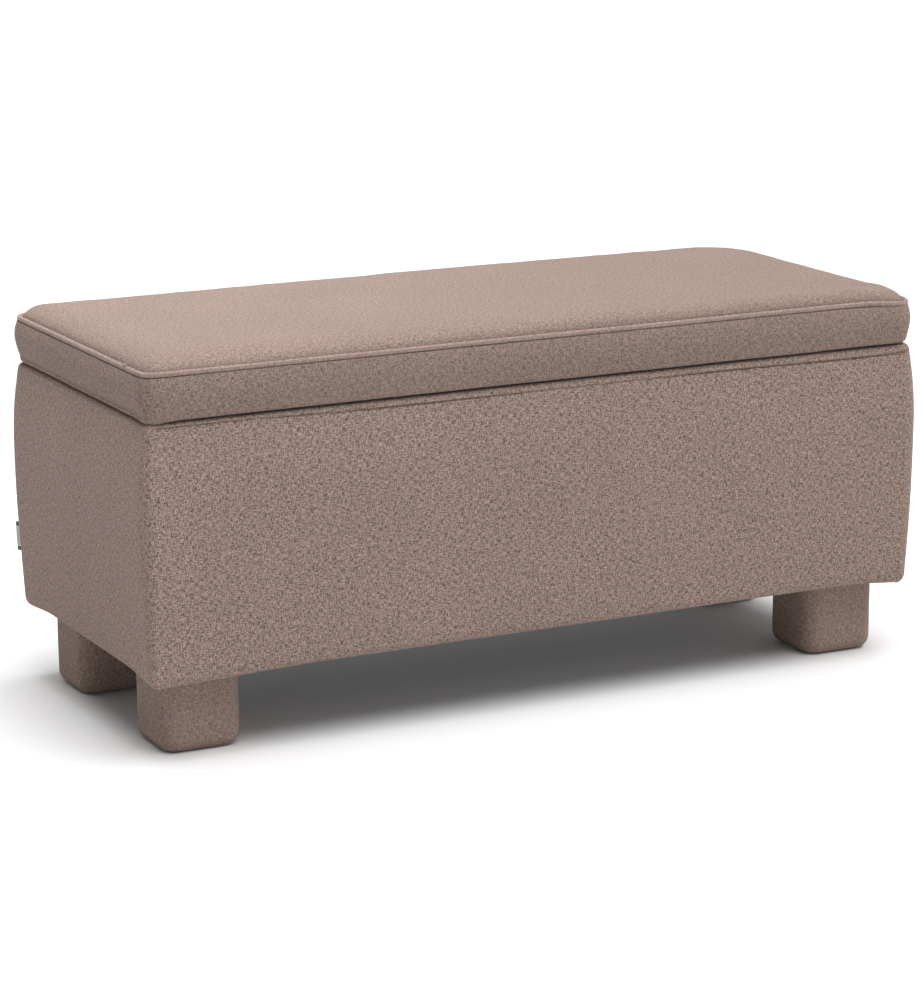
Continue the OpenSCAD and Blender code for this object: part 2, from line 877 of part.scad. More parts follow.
// Shouldered stud on the end panel: boss, pin through the slot, and a head that keeps the bar on
module stay_stud(side) {
    color(steel_colour)
        difference() {
            mirror([side > 0 ? 0 : 1, 0, 0])
                translate([0, stay_stud[0], stay_stud[1]]) {
                    pin_along_x(stay_boss_d, stay_bar_x + stay_gap, lined_w / 2);
                    pin_along_x(stay_pin_d, stay_head_x - stay_head_t, stay_bar_x + stay_gap);
                    pin_along_x(stay_head_d, stay_head_x - stay_head_t, stay_head_x);
                }
            stay_stud_screw(side, screw_clear);
        }
}

// Countersunk screw through the stud's head into the end panel
module stay_stud_screw(side, clear = 0) {
    l = stay_screw_l + lined_w / 2 - stay_head_x;
    mirror([side > 0 ? 0 : 1, 0, 0])
        translate([stay_head_x - stay_head_t, stay_stud[0], stay_stud[1]])
            rotate([0, -90, 0])
                wood_screw(screw_d, screw_head_d, screw_head_t, l, clear);
}

module stay_stud_screws() {
    color(steel_colour)
        for (side = [-1, 1])
            stay_stud_screw(side);
}

bottom_board();
long_panel(-1);  // front_panel
long_panel(1);  // back_panel
end_panel(-1);  // left_end_panel
end_panel(1);  // right_end_panel
corner_blocks();
frame_screws();
side_padding(FRONT);  // front_padding
side_padding(BACK);  // back_padding
side_padding(LEFT);  // left_end_padding
side_padding(RIGHT);  // right_end_padding
side_cover(FRONT);  // front_cover
side_cover(BACK);  // back_cover
side_cover(LEFT);  // left_end_cover
side_cover(RIGHT);  // right_end_cover
inner_lining();
dust_cover();
side_label();
rim_bumpers();
leg_block(FRONT_LEFT);  // leg_block_front_left
leg_block(FRONT_RIGHT);  // leg_block_front_right
leg_block(BACK_LEFT);  // leg_block_back_left
leg_block(BACK_RIGHT);  // leg_block_back_right
leg_wadding();
leg_cover(FRONT_LEFT);  // leg_cover_front_left
leg_cover(FRONT_RIGHT);  // leg_cover_front_right
leg_cover(BACK_LEFT);  // leg_cover_back_left
leg_cover(BACK_RIGHT);  // leg_cover_back_right
leg_bolts();
t_nuts();
leg_glides();
lid_board();
lid_foam();
lid_wadding();
lid_top_cover();
side_boxing(FRONT);  // front_boxing
side_boxing(BACK);  // back_boxing
side_boxing(LEFT);  // left_end_boxing
side_boxing(RIGHT);  // right_end_boxing
piping_cover();
piping_cord();
lid_lining();
lower_leaf(hinge_xs[0]);  // left_hinge_lower_leaf
lower_leaf(hinge_xs[1]);  // middle_hinge_lower_leaf
lower_leaf(hinge_xs[2]);  // right_hinge_lower_leaf
upper_leaf(hinge_xs[0]);  // left_hinge_upper_leaf
upper_leaf(hinge_xs[1]);  // middle_hinge_upper_leaf
upper_leaf(hinge_xs[2]);  // right_hinge_upper_leaf
hinge_pins();
lower_leaf_screws();
upper_leaf_screws();
stay_bar(-1);  // left_stay_bar
stay_bar(1);  // right_stay_bar
stay_bracket(-1);  // left_stay_bracket
stay_bracket(1);  // right_stay_bracket
stay_stud(-1);  // left_stay_stud
stay_stud(1);  // right_stay_stud
stay_bracket_screws();
stay_stud_screws();
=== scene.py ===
"""Builds the upholstered storage bench over its CAD frame: padding, covers, piping, linings and finishes."""
import math

import bmesh
import bpy
import numpy as np
from bpy.props import FloatProperty, FloatVectorProperty, PointerProperty
from mathutils import Matrix, Vector, noise


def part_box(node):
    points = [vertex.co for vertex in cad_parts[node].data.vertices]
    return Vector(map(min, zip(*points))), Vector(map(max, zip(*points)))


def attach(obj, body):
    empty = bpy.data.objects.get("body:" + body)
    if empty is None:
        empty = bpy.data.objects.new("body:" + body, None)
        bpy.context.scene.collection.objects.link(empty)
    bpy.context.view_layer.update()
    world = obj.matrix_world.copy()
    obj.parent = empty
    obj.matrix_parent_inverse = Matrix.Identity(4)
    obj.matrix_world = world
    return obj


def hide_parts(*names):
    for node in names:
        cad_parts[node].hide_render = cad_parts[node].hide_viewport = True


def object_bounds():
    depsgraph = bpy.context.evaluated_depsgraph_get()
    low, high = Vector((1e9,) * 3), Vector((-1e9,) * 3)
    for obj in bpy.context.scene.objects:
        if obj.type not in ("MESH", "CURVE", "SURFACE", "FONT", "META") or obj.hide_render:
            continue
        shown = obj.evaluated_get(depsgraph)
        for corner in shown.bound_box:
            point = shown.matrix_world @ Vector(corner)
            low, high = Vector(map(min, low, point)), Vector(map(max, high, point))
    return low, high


bl_info = {
    "name": "Upholstered Storage Bench",
    "version": (1, 0, 0),
    "blender": (4, 5, 0),
    "location": "View3D > Sidebar > Bench",
    "description": "Upholsters a storage bench over its CAD frame",
    "category": "Object",
}

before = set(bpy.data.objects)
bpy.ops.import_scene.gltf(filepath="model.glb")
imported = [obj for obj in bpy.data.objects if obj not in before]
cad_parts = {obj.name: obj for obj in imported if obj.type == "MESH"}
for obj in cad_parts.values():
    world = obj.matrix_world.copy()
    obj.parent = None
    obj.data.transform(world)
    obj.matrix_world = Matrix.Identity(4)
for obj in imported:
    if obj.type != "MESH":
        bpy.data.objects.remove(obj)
CAD_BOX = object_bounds()


def linear(hex_colour):
    """Turns an sRGB hex colour into linear red, green and blue."""
    channels = [int(hex_colour[i:i + 2], 16) / 255 for i in (1, 3, 5)]
    return tuple(c / 12.92 if c <= 0.04045 else ((c + 0.055) / 1.055) ** 2.4 for c in channels)


def span(*nodes):
    """Lowest and highest corner of several CAD nodes together."""
    boxes = [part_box(node) for node in nodes]
    low = Vector(map(min, *(box[0] for box in boxes))) if len(boxes) > 1 else boxes[0][0]
    high = Vector(map(max, *(box[1] for box in boxes))) if len(boxes) > 1 else boxes[0][1]
    return low, high


MM = 0.001
# Turn from a side to the seam half way round its corner, and how wide that seam's pull is
MITRE = math.pi / 4
SEAM_TURN = 0.12
FRONT, RIGHT, BACK, LEFT = range(4)
SIDE_NAMES = ("front", "right_end", "back", "left_end")

# Where the CAD frame puts the parts that the soft pieces are built on
BODY_LOW, BODY_HIGH = span("front_cover", "back_cover", "left_end_cover", "right_end_cover")
WOOD_HIGH = span("front_panel", "back_panel", "left_end_panel", "right_end_panel")[1]
BASE_LOW = span("bottom_board")[0]
BOXING_LOW, BOXING_HIGH = span("front_boxing", "back_boxing", "left_end_boxing", "right_end_boxing")
BOARD_LOW, BOARD_HIGH = span("lid_board")
CROWN_LOW, CROWN_HIGH = span("lid_top_cover")
PIPING_LOW, PIPING_HIGH = span("piping_cover")
LINING_LOW, LINING_HIGH = span("inner_lining")
DUST_LOW, DUST_HIGH = span("dust_cover")
LID_LINING_LOW, LID_LINING_HIGH = span("lid_lining")
LABEL_LOW, LABEL_HIGH = span("side_label")


# ---- Sizes and colours a user would change ----

class BodySizes(bpy.types.PropertyGroup):
    """Sizes of the padded body and its legs."""

    corner: FloatProperty(name="Corner Radius", description="Radius of the body's upright corners in plan",
                          default=24 * MM, unit="LENGTH")
    rim_in: FloatProperty(name="Rim Inset", description="How far the rim sits in from the fullest line",
                          default=8 * MM, unit="LENGTH")
    foot_in: FloatProperty(name="Foot Inset", description="How far the foot sits in from the fullest line",
                           default=7 * MM, unit="LENGTH")
    bulge: FloatProperty(name="Bulge Height", description="Height of the fullest line above the floor",
                         default=300.5 * MM, unit="LENGTH")
    rim_roll: FloatProperty(name="Rim Roll", description="Radius of the padded roll along the rim",
                            default=8.5 * MM, unit="LENGTH")
    foot_roll: FloatProperty(name="Foot Roll", description="Radius of the padded roll along the foot",
                             default=14 * MM, unit="LENGTH")
    panel: FloatProperty(name="Panel Thickness", description="Thickness of the wooden panels",
                         default=15 * MM, unit="LENGTH")
    cloth: FloatProperty(name="Cover Thickness", description="Thickness of the upholstery fabric",
                         default=1.5 * MM, unit="LENGTH")
    hem: FloatProperty(name="Rim Hem", description="Depth of the cover turned down inside the rim",
                       default=30 * MM, unit="LENGTH")
    tight: FloatProperty(name="Drawn Corner", description="Radius that the cover is drawn to at the corners",
                         default=15 * MM, unit="LENGTH")
    droop: FloatProperty(name="Corner Droop", description="How far the lower corners sag",
                         default=6 * MM, unit="LENGTH")


class LidSizes(bpy.types.PropertyGroup):
    """Sizes of the lid, its crown and its piping."""

    corner: FloatProperty(name="Corner Radius", description="Radius of the lid's corners in plan",
                          default=32 * MM, unit="LENGTH")
    tight: FloatProperty(name="Drawn Corner", description="Radius that the boxing is drawn to at the corners",
                         default=23 * MM, unit="LENGTH")
    edge_in: FloatProperty(name="Lower Edge Inset", description="How far the lower edge sits in",
                           default=4 * MM, unit="LENGTH")
    top_in: FloatProperty(name="Top Inset", description="How far the boxing's top sits in",
                          default=4.5 * MM, unit="LENGTH")
    roll: FloatProperty(name="Lower Roll", description="Radius of the roll along the lower edge",
                        default=8 * MM, unit="LENGTH")
    piping: FloatProperty(name="Piping Diameter", description="Diameter of the covered piping",
                          default=6.5 * MM, unit="LENGTH")
    crown_reach: FloatProperty(name="Crown Reach", description="How far in the top keeps rising",
                               default=46 * MM, unit="LENGTH")
    droop: FloatProperty(name="Corner Droop", description="How far the top's right corners hang down",
                         default=5 * MM, unit="LENGTH")
    slump: FloatProperty(name="Slump", description="How much lower the top is at its right end",
                         default=5 * MM, unit="LENGTH")
    dome: FloatProperty(name="Dome", description="Extra height at the middle of the top",
                        default=1.5 * MM, unit="LENGTH")


class ClothFinish(bpy.types.PropertyGroup):
    """Colours and thread sizes of the cover."""

    cover: FloatVectorProperty(name="Cover", description="Colour of the woven cover",
                               default=linear("#847167"), subtype="COLOR")
    piping: FloatVectorProperty(name="Piping", description="Colour of the piping's cover",
                                default=linear("#8C796F"), subtype="COLOR")
    lining: FloatVectorProperty(name="Lining", description="Colour of the lining cloth",
                                default=linear("#4A4643"), subtype="COLOR")
    thread: FloatProperty(name="Thread Spacing", description="Distance between the drawn threads",
                          default=1.15 * MM, unit="LENGTH")
    slub: FloatProperty(name="Slub Length", description="Length of a thick place in a thread",
                        default=5.5 * MM, unit="LENGTH")


class FixingSizes(bpy.types.PropertyGroup):
    """Sizes of the staples and stitches."""

    staple_spacing: FloatProperty(name="Staple Spacing", description="Distance between staples",
                                  default=38 * MM, unit="LENGTH")
    staple_crown: FloatProperty(name="Staple Crown", description="Width of a staple",
                                default=10 * MM, unit="LENGTH")
    staple_wire: FloatProperty(name="Staple Wire", description="Thickness of a staple's wire",
                               default=0.9 * MM, unit="LENGTH")
    stitch_spacing: FloatProperty(name="Stitch Spacing", description="Distance between stitches",
                                  default=5 * MM, unit="LENGTH")
    stitch_length: FloatProperty(name="Stitch Length", description="Length of one stitch",
                                 default=3.6 * MM, unit="LENGTH")
    thread: FloatProperty(name="Thread Thickness", description="Thickness of the sewing thread",
                          default=0.6 * MM, unit="LENGTH")


class StageSettings(bpy.types.PropertyGroup):
    """Floor, lights and camera."""

    azimuth: FloatProperty(name="Azimuth", description="Camera's angle round the bench",
                           default=math.radians(-26.94), subtype="ANGLE")
    elevation: FloatProperty(name="Elevation", description="Camera's angle above the horizon",
                             default=math.radians(13.50), subtype="ANGLE")
    distance: FloatProperty(name="Distance", description="Camera's distance from the bench",
                            default=4.184, unit="LENGTH")
    target: FloatProperty(name="Target Height", description="Height that the camera looks at",
                          default=208 * MM, unit="LENGTH")
    roll: FloatProperty(name="Roll", description="Camera's turn about its own axis",
                        default=math.radians(-0.316), subtype="ANGLE")
    shift_x: FloatProperty(name="Shift X", description="Lens shift across", default=-0.0071)
    shift_y: FloatProperty(name="Shift Y", description="Lens shift upwards", default=0.0018)
    lens: FloatProperty(name="Lens", description="Focal length in millimetres",
                        default=121.1, unit="CAMERA")
    key: FloatProperty(name="Top Light", description="Strength of the large soft light overhead",
                       default=3.85)
    key_place: FloatVectorProperty(name="Top Light Place", description="Where the light overhead shines from",
                                   default=(0.3, -0.5, 2.7), subtype="TRANSLATION")
    top: FloatProperty(name="Left Top Light", description="Power of the small lamp over the top's left end",
                       default=4.0)
    top_size: FloatProperty(name="Left Top Light Size", description="Width of the small lamp",
                            default=0.5, unit="LENGTH")
    top_place: FloatVectorProperty(name="Left Top Light Place", description="Where the small lamp hangs",
                                   default=(-0.42, 0.22, 1.3), subtype="TRANSLATION")
    softness: FloatProperty(name="Softness", description="How wide the light overhead is",
                            default=math.radians(60), subtype="ANGLE")
    sky: FloatProperty(name="Fill", description="Strength of the even light all round", default=0.71)
    horizon: FloatProperty(name="Low Fill", description="How much brighter the fill is near the horizon",
                           default=1.6)
    zenith: FloatProperty(name="High Fill", description="How much weaker the fill is overhead", default=0.75)
    shade: FloatProperty(name="Left Fill", description="Strength of the fill from the left", default=0.17)
    floor_half: FloatProperty(name="Floor Reach", description="Distance from the bench to the floor's edge",
                              default=30.0, unit="LENGTH")


# ---- Small tools for meshes ----

def add_object(name, mesh):
    """Links a new object at the origin."""
    piece = bpy.data.objects.new(name, mesh)
    bpy.context.scene.collection.objects.link(piece)
    return piece


def add_piece(name, points, faces, coordinates, material, smooth_angle=50):
    """Makes a mesh object from points, faces and one texture coordinate for each face corner."""
    mesh = bpy.data.meshes.new(name)
    mesh.from_pydata([tuple(p) for p in points], [], faces)
    layer = mesh.uv_layers.new(name="UVMap")
    layer.data.foreach_set("uv", np.asarray(coordinates, dtype=np.float32).ravel())
    mesh.materials.append(material)
    turn_outwards(mesh)
    finish_shading(mesh, smooth_angle)
    return add_object(name, mesh)


def turn_outwards(mesh):
    """Makes every face of a closed mesh point outwards."""
    work = bmesh.new()
    work.from_mesh(mesh)
    bmesh.ops.recalc_face_normals(work, faces=work.faces)
    work.to_mesh(mesh)
    work.free()


def finish_shading(mesh, angle):
    """Shades a mesh smooth except across sharp edges."""
    mesh.polygons.foreach_set("use_smooth", [True] * len(mesh.polygons))
    mesh.set_sharp_from_angle(angle=math.radians(angle))
    mesh.update()


def remove_object(piece):
    """Deletes a helper object and its mesh."""
    mesh = piece.data
    bpy.data.objects.remove(piece)
    bpy.data.meshes.remove(mesh)


def ramp(value, low, high):
    """Rises smoothly from 0 at low to 1 at high."""
    share = min(max((value - low) / (high - low), 0.0), 1.0)
    return share * share * (3 - 2 * share)


def ripple(x, y, seed, size):
    """Smooth noise from about -1 to 1, with features of the given size in metres."""
    return noise.noise(Vector((x / size, y / size, seed)))


def arc(centre, radius, start, end, steps):
    """Points on an arc, with angles in degrees."""
    turns = [math.radians(start + (end - start) * i / steps) for i in range(steps + 1)]
    return [(centre[0] + radius * math.cos(t), centre[1] + radius * math.sin(t)) for t in turns]


def along_line(start, end, steps):
    """Points from just after start up to end."""
    return [(start[0] + (end[0] - start[0]) * i / steps, start[1] + (end[1] - start[1]) * i / steps)
            for i in range(1, steps + 1)]


def running_lengths(points):
    """Distance along a line of points from its first to each of them."""
    lengths = [0.0]
    for a, b in zip(points, points[1:]):
        lengths.append(lengths[-1] + math.dist(a, b))
    return lengths


def seam_corner(side, turn):
    """Whether a place on a corner belongs to the front left one, where the pull is strongest."""
    return (side == FRONT and turn < 0) or (side == LEFT and turn > 0)


def drawn_corner(turn, radius, tight):
    """How much further out a corner drawn to a tighter radius reaches at a turn from its side."""
    turn, shift = abs(turn), radius - tight
    if turn <= math.atan2(shift, radius):
        return 1 / math.cos(turn)
    reach = shift * (math.sin(turn) + math.cos(turn))
    return (reach + math.sqrt(reach ** 2 - 2 * shift ** 2 + tight ** 2)) / radius


class Section:
    """A closed outline across an edge: distances from the corner's centre, heights, and what shows."""

    def __init__(self):
        self.points = []
        self.soft = []

    def add(self, points, soft):
        """Adds points that all are, or aren't, on the soft outer face."""
        for point in points:
            self.points.append(point)
            self.soft.append(soft)

    def lengths(self, zero_height):
        """Distance of each point along the outline, from where the soft face crosses a height."""
        total = running_lengths(self.points)
        reach = min((abs(p[1] - zero_height), i) for i, p in enumerate(self.points) if self.soft[i])[1]
        return [total[reach] - t for t in total]


def side_stations(half_length, radius, spacing, corner_steps):
    """Places along one side and half of each corner: (place on the straight, turn, distance, share)."""
    straight = max(4, round(2 * half_length / spacing))
    arc_length = radius * MITRE
    whole = half_length + arc_length
    stations = []
    for i in range(corner_steps):
        turn = -MITRE * (1 - i / corner_steps)
        stations.append((-half_length, turn, -half_length + turn * radius))
    for i in range(straight + 1):
        place = -half_length + 2 * half_length * i / straight
        stations.append((place, 0.0, place))
    for i in range(1, corner_steps + 1):
        turn = MITRE * i / corner_steps
        stations.append((half_length, turn, half_length + turn * radius))
    return [(place, turn, distance, distance / whole) for place, turn, distance in stations]


def sweep_side(name, side, half_x, half_y, radius, section, zero_height, shape, material,
               spacing=4.6 * MM, corner_steps=7):
    """Runs a closed section along one side of a rounded rectangle, mitred half way round its corners."""
    along, across = (half_x, half_y) if side in (FRONT, BACK) else (half_y, half_x)
    half_length, out = along - radius, across - radius
    cos_turn, sin_turn = math.cos(side * math.pi / 2), math.sin(side * math.pi / 2)
    stations = side_stations(half_length, radius, spacing, corner_steps)
    heights = section.lengths(zero_height)
    count = len(section.points)
    points = []
    for place, turn, distance, share in stations:
        for index, (rho, z) in enumerate(section.points):
            if section.soft[index]:
                rho, z = shape(side, distance, turn, share, rho, z)
            if rho >= 0:
                u, n = place + rho * math.sin(turn), out + rho * math.cos(turn)
            else:
                u, n = share * (half_length + rho), out + rho
            points.append((u * cos_turn + n * sin_turn, u * sin_turn - n * cos_turn, z))
    faces, coordinates = [], []
    for i in range(len(stations) - 1):
        here, there = stations[i][2], stations[i + 1][2]
        for j in range(count):
            k = (j + 1) % count
            faces.append((i * count + j, (i + 1) * count + j, (i + 1) * count + k, i * count + k))
            low = heights[j]
            high = heights[k] if k else heights[j] - math.dist(section.points[j], section.points[0])
            coordinates += [(here, low), (there, low), (there, high), (here, high)]
    last = (len(stations) - 1) * count
    faces.append(tuple(range(count)))
    coordinates += [section.points[j] for j in range(count)]
    faces.append(tuple(last + j for j in reversed(range(count))))
    coordinates += [section.points[j] for j in reversed(range(count))]
    return add_piece(name, points, faces, coordinates, material)


def rounded_path(half_x, half_y, radii, z, spacing):
    """Points round a rounded rectangle, from the middle of the left end, past the front left corner."""
    corners = [(-1, -1, 180), (1, -1, 270), (1, 1, 0), (-1, 1, 90)]
    points = [(-half_x, 0.0)]
    for (x, y, start), radius in zip(corners, radii):
        centre = (x * (half_x - radius), y * (half_y - radius))
        points += arc(centre, radius, start, start + 90, 10)
    points.append((-half_x, 0.0))
    path = []
    for a, b in zip(points, points[1:]):
        steps = max(1, round(math.dist(a, b) / spacing))
        path += [(a[0] + (b[0] - a[0]) * i / steps, a[1] + (b[1] - a[1]) * i / steps, z)
                 for i in range(steps)]
    return path


def wire_mesh(name, points, closed=True):
    """A mesh of edges only, for the node trees to follow."""
    mesh = bpy.data.meshes.new(name)
    edges = [(i, i + 1) for i in range(len(points) - 1)]
    if closed:
        edges.append((len(points) - 1, 0))
    mesh.from_pydata(points, edges, [])
    return mesh


# ---- Node trees ----

def add_node(tree, kind, sources=None, **settings):
    """Adds a node with its settings; sources maps an input to a value or to an output to link."""
    node = tree.nodes.new(kind)
    for name, value in settings.items():
        setattr(node, name, value)
    for name, source in (sources or {}).items():
        if isinstance(source, bpy.types.NodeSocket):
            tree.links.new(source, node.inputs[name])
        else:
            node.inputs[name].default_value = source
    return node


def start_tree(name, inputs):
    """Starts a geometry node tree with a path coming in and named inputs for its sizes."""
    tree = bpy.data.node_groups.new(name, "GeometryNodeTree")
    tree.interface.new_socket("Geometry", in_out="INPUT", socket_type="NodeSocketGeometry")
    for label, kind in inputs:
        tree.interface.new_socket(label, in_out="INPUT", socket_type=kind)
    tree.interface.new_socket("Geometry", in_out="OUTPUT", socket_type="NodeSocketGeometry")
    return tree, add_node(tree, "NodeGroupInput").outputs


def end_tree(tree, geometry, material):
    """Ends a tree in real, smooth geometry with its material."""
    real = add_node(tree, "GeometryNodeRealizeInstances", {"Geometry": geometry})
    smooth = add_node(tree, "GeometryNodeSetShadeSmooth", {"Geometry": real.outputs["Geometry"]})
    painted = add_node(tree, "GeometryNodeSetMaterial",
                       {"Geometry": smooth.outputs["Geometry"], "Material": material})
    add_node(tree, "NodeGroupOutput", {"Geometry": painted.outputs["Geometry"]})


def piping_tree():
    """A round bead along a path, with a map of its length and girth for the weave."""
    tree, given = start_tree("piping_bead", [("Radius", "NodeSocketFloat"), ("Step", "NodeSocketFloat"),
                                             ("Material", "NodeSocketMaterial")])
    curve = add_node(tree, "GeometryNodeMeshToCurve", {"Mesh": given["Geometry"]})
    even = add_node(tree, "GeometryNodeResampleCurve",
                    {"Curve": curve.outputs["Curve"], "Length": given["Step"]}, mode="LENGTH")
    place = add_node(tree, "GeometryNodeSplineParameter")
    path = add_node(tree, "GeometryNodeStoreNamedAttribute",
                    {"Geometry": even.outputs["Curve"], "Name": "along", "Value": place.outputs["Length"]},
                    data_type="FLOAT", domain="POINT")
    ring = add_node(tree, "GeometryNodeCurvePrimitiveCircle",
                    {"Resolution": 14, "Radius": given["Radius"]}, mode="RADIUS")
    turn = add_node(tree, "GeometryNodeSplineParameter")
    girth = add_node(tree, "GeometryNodeStoreNamedAttribute",
                     {"Geometry": ring.outputs["Curve"], "Name": "girth", "Value": turn.outputs["Length"]},
                     data_type="FLOAT", domain="POINT")
    bead = add_node(tree, "GeometryNodeCurveToMesh",
                    {"Curve": path.outputs["Geometry"], "Profile Curve": girth.outputs["Geometry"],
                     "Fill Caps": True})
    along = add_node(tree, "GeometryNodeInputNamedAttribute", {"Name": "along"}, data_type="FLOAT")
    about = add_node(tree, "GeometryNodeInputNamedAttribute", {"Name": "girth"}, data_type="FLOAT")
    both = add_node(tree, "ShaderNodeCombineXYZ",
                    {"X": along.outputs["Attribute"], "Y": about.outputs["Attribute"]})
    mapped = add_node(tree, "GeometryNodeStoreNamedAttribute",
                      {"Geometry": bead.outputs["Mesh"], "Name": "UVMap", "Value": both.outputs["Vector"]},
                      data_type="FLOAT2", domain="CORNER")
    end_tree(tree, mapped.outputs["Geometry"], given["Material"])
    return tree


def staple_tree():
    """Wire staples at even distances along a path, with their legs going in along Z."""
    tree, given = start_tree("staples_on_path",
                             [("Spacing", "NodeSocketFloat"), ("Crown", "NodeSocketFloat"),
                              ("Wire", "NodeSocketFloat"), ("Leg", "NodeSocketFloat"),
                              ("Material", "NodeSocketMaterial")])
    half = add_node(tree, "ShaderNodeMath", {0: given["Crown"], 1: 0.5}, operation="MULTIPLY")
    other = add_node(tree, "ShaderNodeMath", {0: half.outputs[0], 1: -1.0}, operation="MULTIPLY")
    right = add_node(tree, "ShaderNodeCombineXYZ", {"X": half.outputs[0]})
    left = add_node(tree, "ShaderNodeCombineXYZ", {"X": other.outputs[0]})
    right_end = add_node(tree, "ShaderNodeCombineXYZ", {"X": half.outputs[0], "Z": given["Leg"]})
    left_end = add_node(tree, "ShaderNodeCombineXYZ", {"X": other.outputs[0], "Z": given["Leg"]})
    crown = add_node(tree, "GeometryNodeCurvePrimitiveLine",
                     {"Start": left.outputs[0], "End": right.outputs[0]})
    leg_one = add_node(tree, "GeometryNodeCurvePrimitiveLine",
                       {"Start": left.outputs[0], "End": left_end.outputs[0]})
    leg_two = add_node(tree, "GeometryNodeCurvePrimitiveLine",
                       {"Start": right.outputs[0], "End": right_end.outputs[0]})
    parts = add_node(tree, "GeometryNodeJoinGeometry")
    for line in (crown, leg_one, leg_two):
        tree.links.new(line.outputs["Curve"], parts.inputs["Geometry"])
    radius = add_node(tree, "ShaderNodeMath", {0: given["Wire"], 1: 0.5}, operation="MULTIPLY")
    wire = add_node(tree, "GeometryNodeCurvePrimitiveCircle",
                    {"Resolution": 6, "Radius": radius.outputs[0]}, mode="RADIUS")
    staple = add_node(tree, "GeometryNodeCurveToMesh",
                      {"Curve": parts.outputs["Geometry"], "Profile Curve": wire.outputs["Curve"],
                       "Fill Caps": True})
    copies = instances_on_path(tree, given, staple.outputs["Mesh"])
    end_tree(tree, copies, given["Material"])
    return tree


def instances_on_path(tree, given, shape):
    """Copies of a shape at even distances along the path, each lying along it."""
    curve = add_node(tree, "GeometryNodeMeshToCurve", {"Mesh": given["Geometry"]})
    places = add_node(tree, "GeometryNodeCurveToPoints",
                      {"Curve": curve.outputs["Curve"], "Length": given["Spacing"]}, mode="LENGTH")
    facing = add_node(tree, "FunctionNodeAlignRotationToVector",
                      {"Vector": places.outputs["Tangent"]}, axis="X", pivot_axis="Z")
    copies = add_node(tree, "GeometryNodeInstanceOnPoints",
                      {"Points": places.outputs["Points"], "Instance": shape,
                       "Rotation": facing.outputs["Rotation"]})
    return copies.outputs["Instances"]


def stitch_tree():
    """Short raised stitches at even distances along a path."""
    tree, given = start_tree("stitches_on_path",
                             [("Spacing", "NodeSocketFloat"), ("Length", "NodeSocketFloat"),
                              ("Thread", "NodeSocketFloat"), ("Material", "NodeSocketMaterial")])
    grain = add_node(tree, "GeometryNodeMeshUVSphere", {"Segments": 8, "Rings": 5, "Radius": 0.5})
    size = add_node(tree, "ShaderNodeCombineXYZ",
                    {"X": given["Length"], "Y": given["Thread"], "Z": given["Thread"]})
    stitch = add_node(tree, "GeometryNodeTransform",
                      {"Geometry": grain.outputs["Mesh"], "Scale": size.outputs[0]})
    copies = instances_on_path(tree, given, stitch.outputs["Geometry"])
    end_tree(tree, copies, given["Material"])
    return tree


def from_tree(name, tree, path, sizes):
    """Runs a tree on a path and keeps the result as a plain mesh object."""
    source = add_object(name + "_path", path)
    modifier = source.modifiers.new("nodes", "NODES")
    modifier.node_group = tree
    for item in tree.interface.items_tree:
        if item.in_out == "INPUT" and item.name in sizes:
            modifier[item.identifier] = sizes[item.name]
    depsgraph = bpy.context.evaluated_depsgraph_get()
    mesh = bpy.data.meshes.new_from_object(source.evaluated_get(depsgraph), depsgraph=depsgraph)
    remove_object(source)
    mesh.name = name
    return add_object(name, mesh)


# ---- Materials ----

def start_material(name):
    """A new material with its shader, and the tree to add nodes to."""
    material = bpy.data.materials.new(name)
    material.use_nodes = True
    tree = material.node_tree
    return material, tree, tree.nodes["Principled BSDF"]


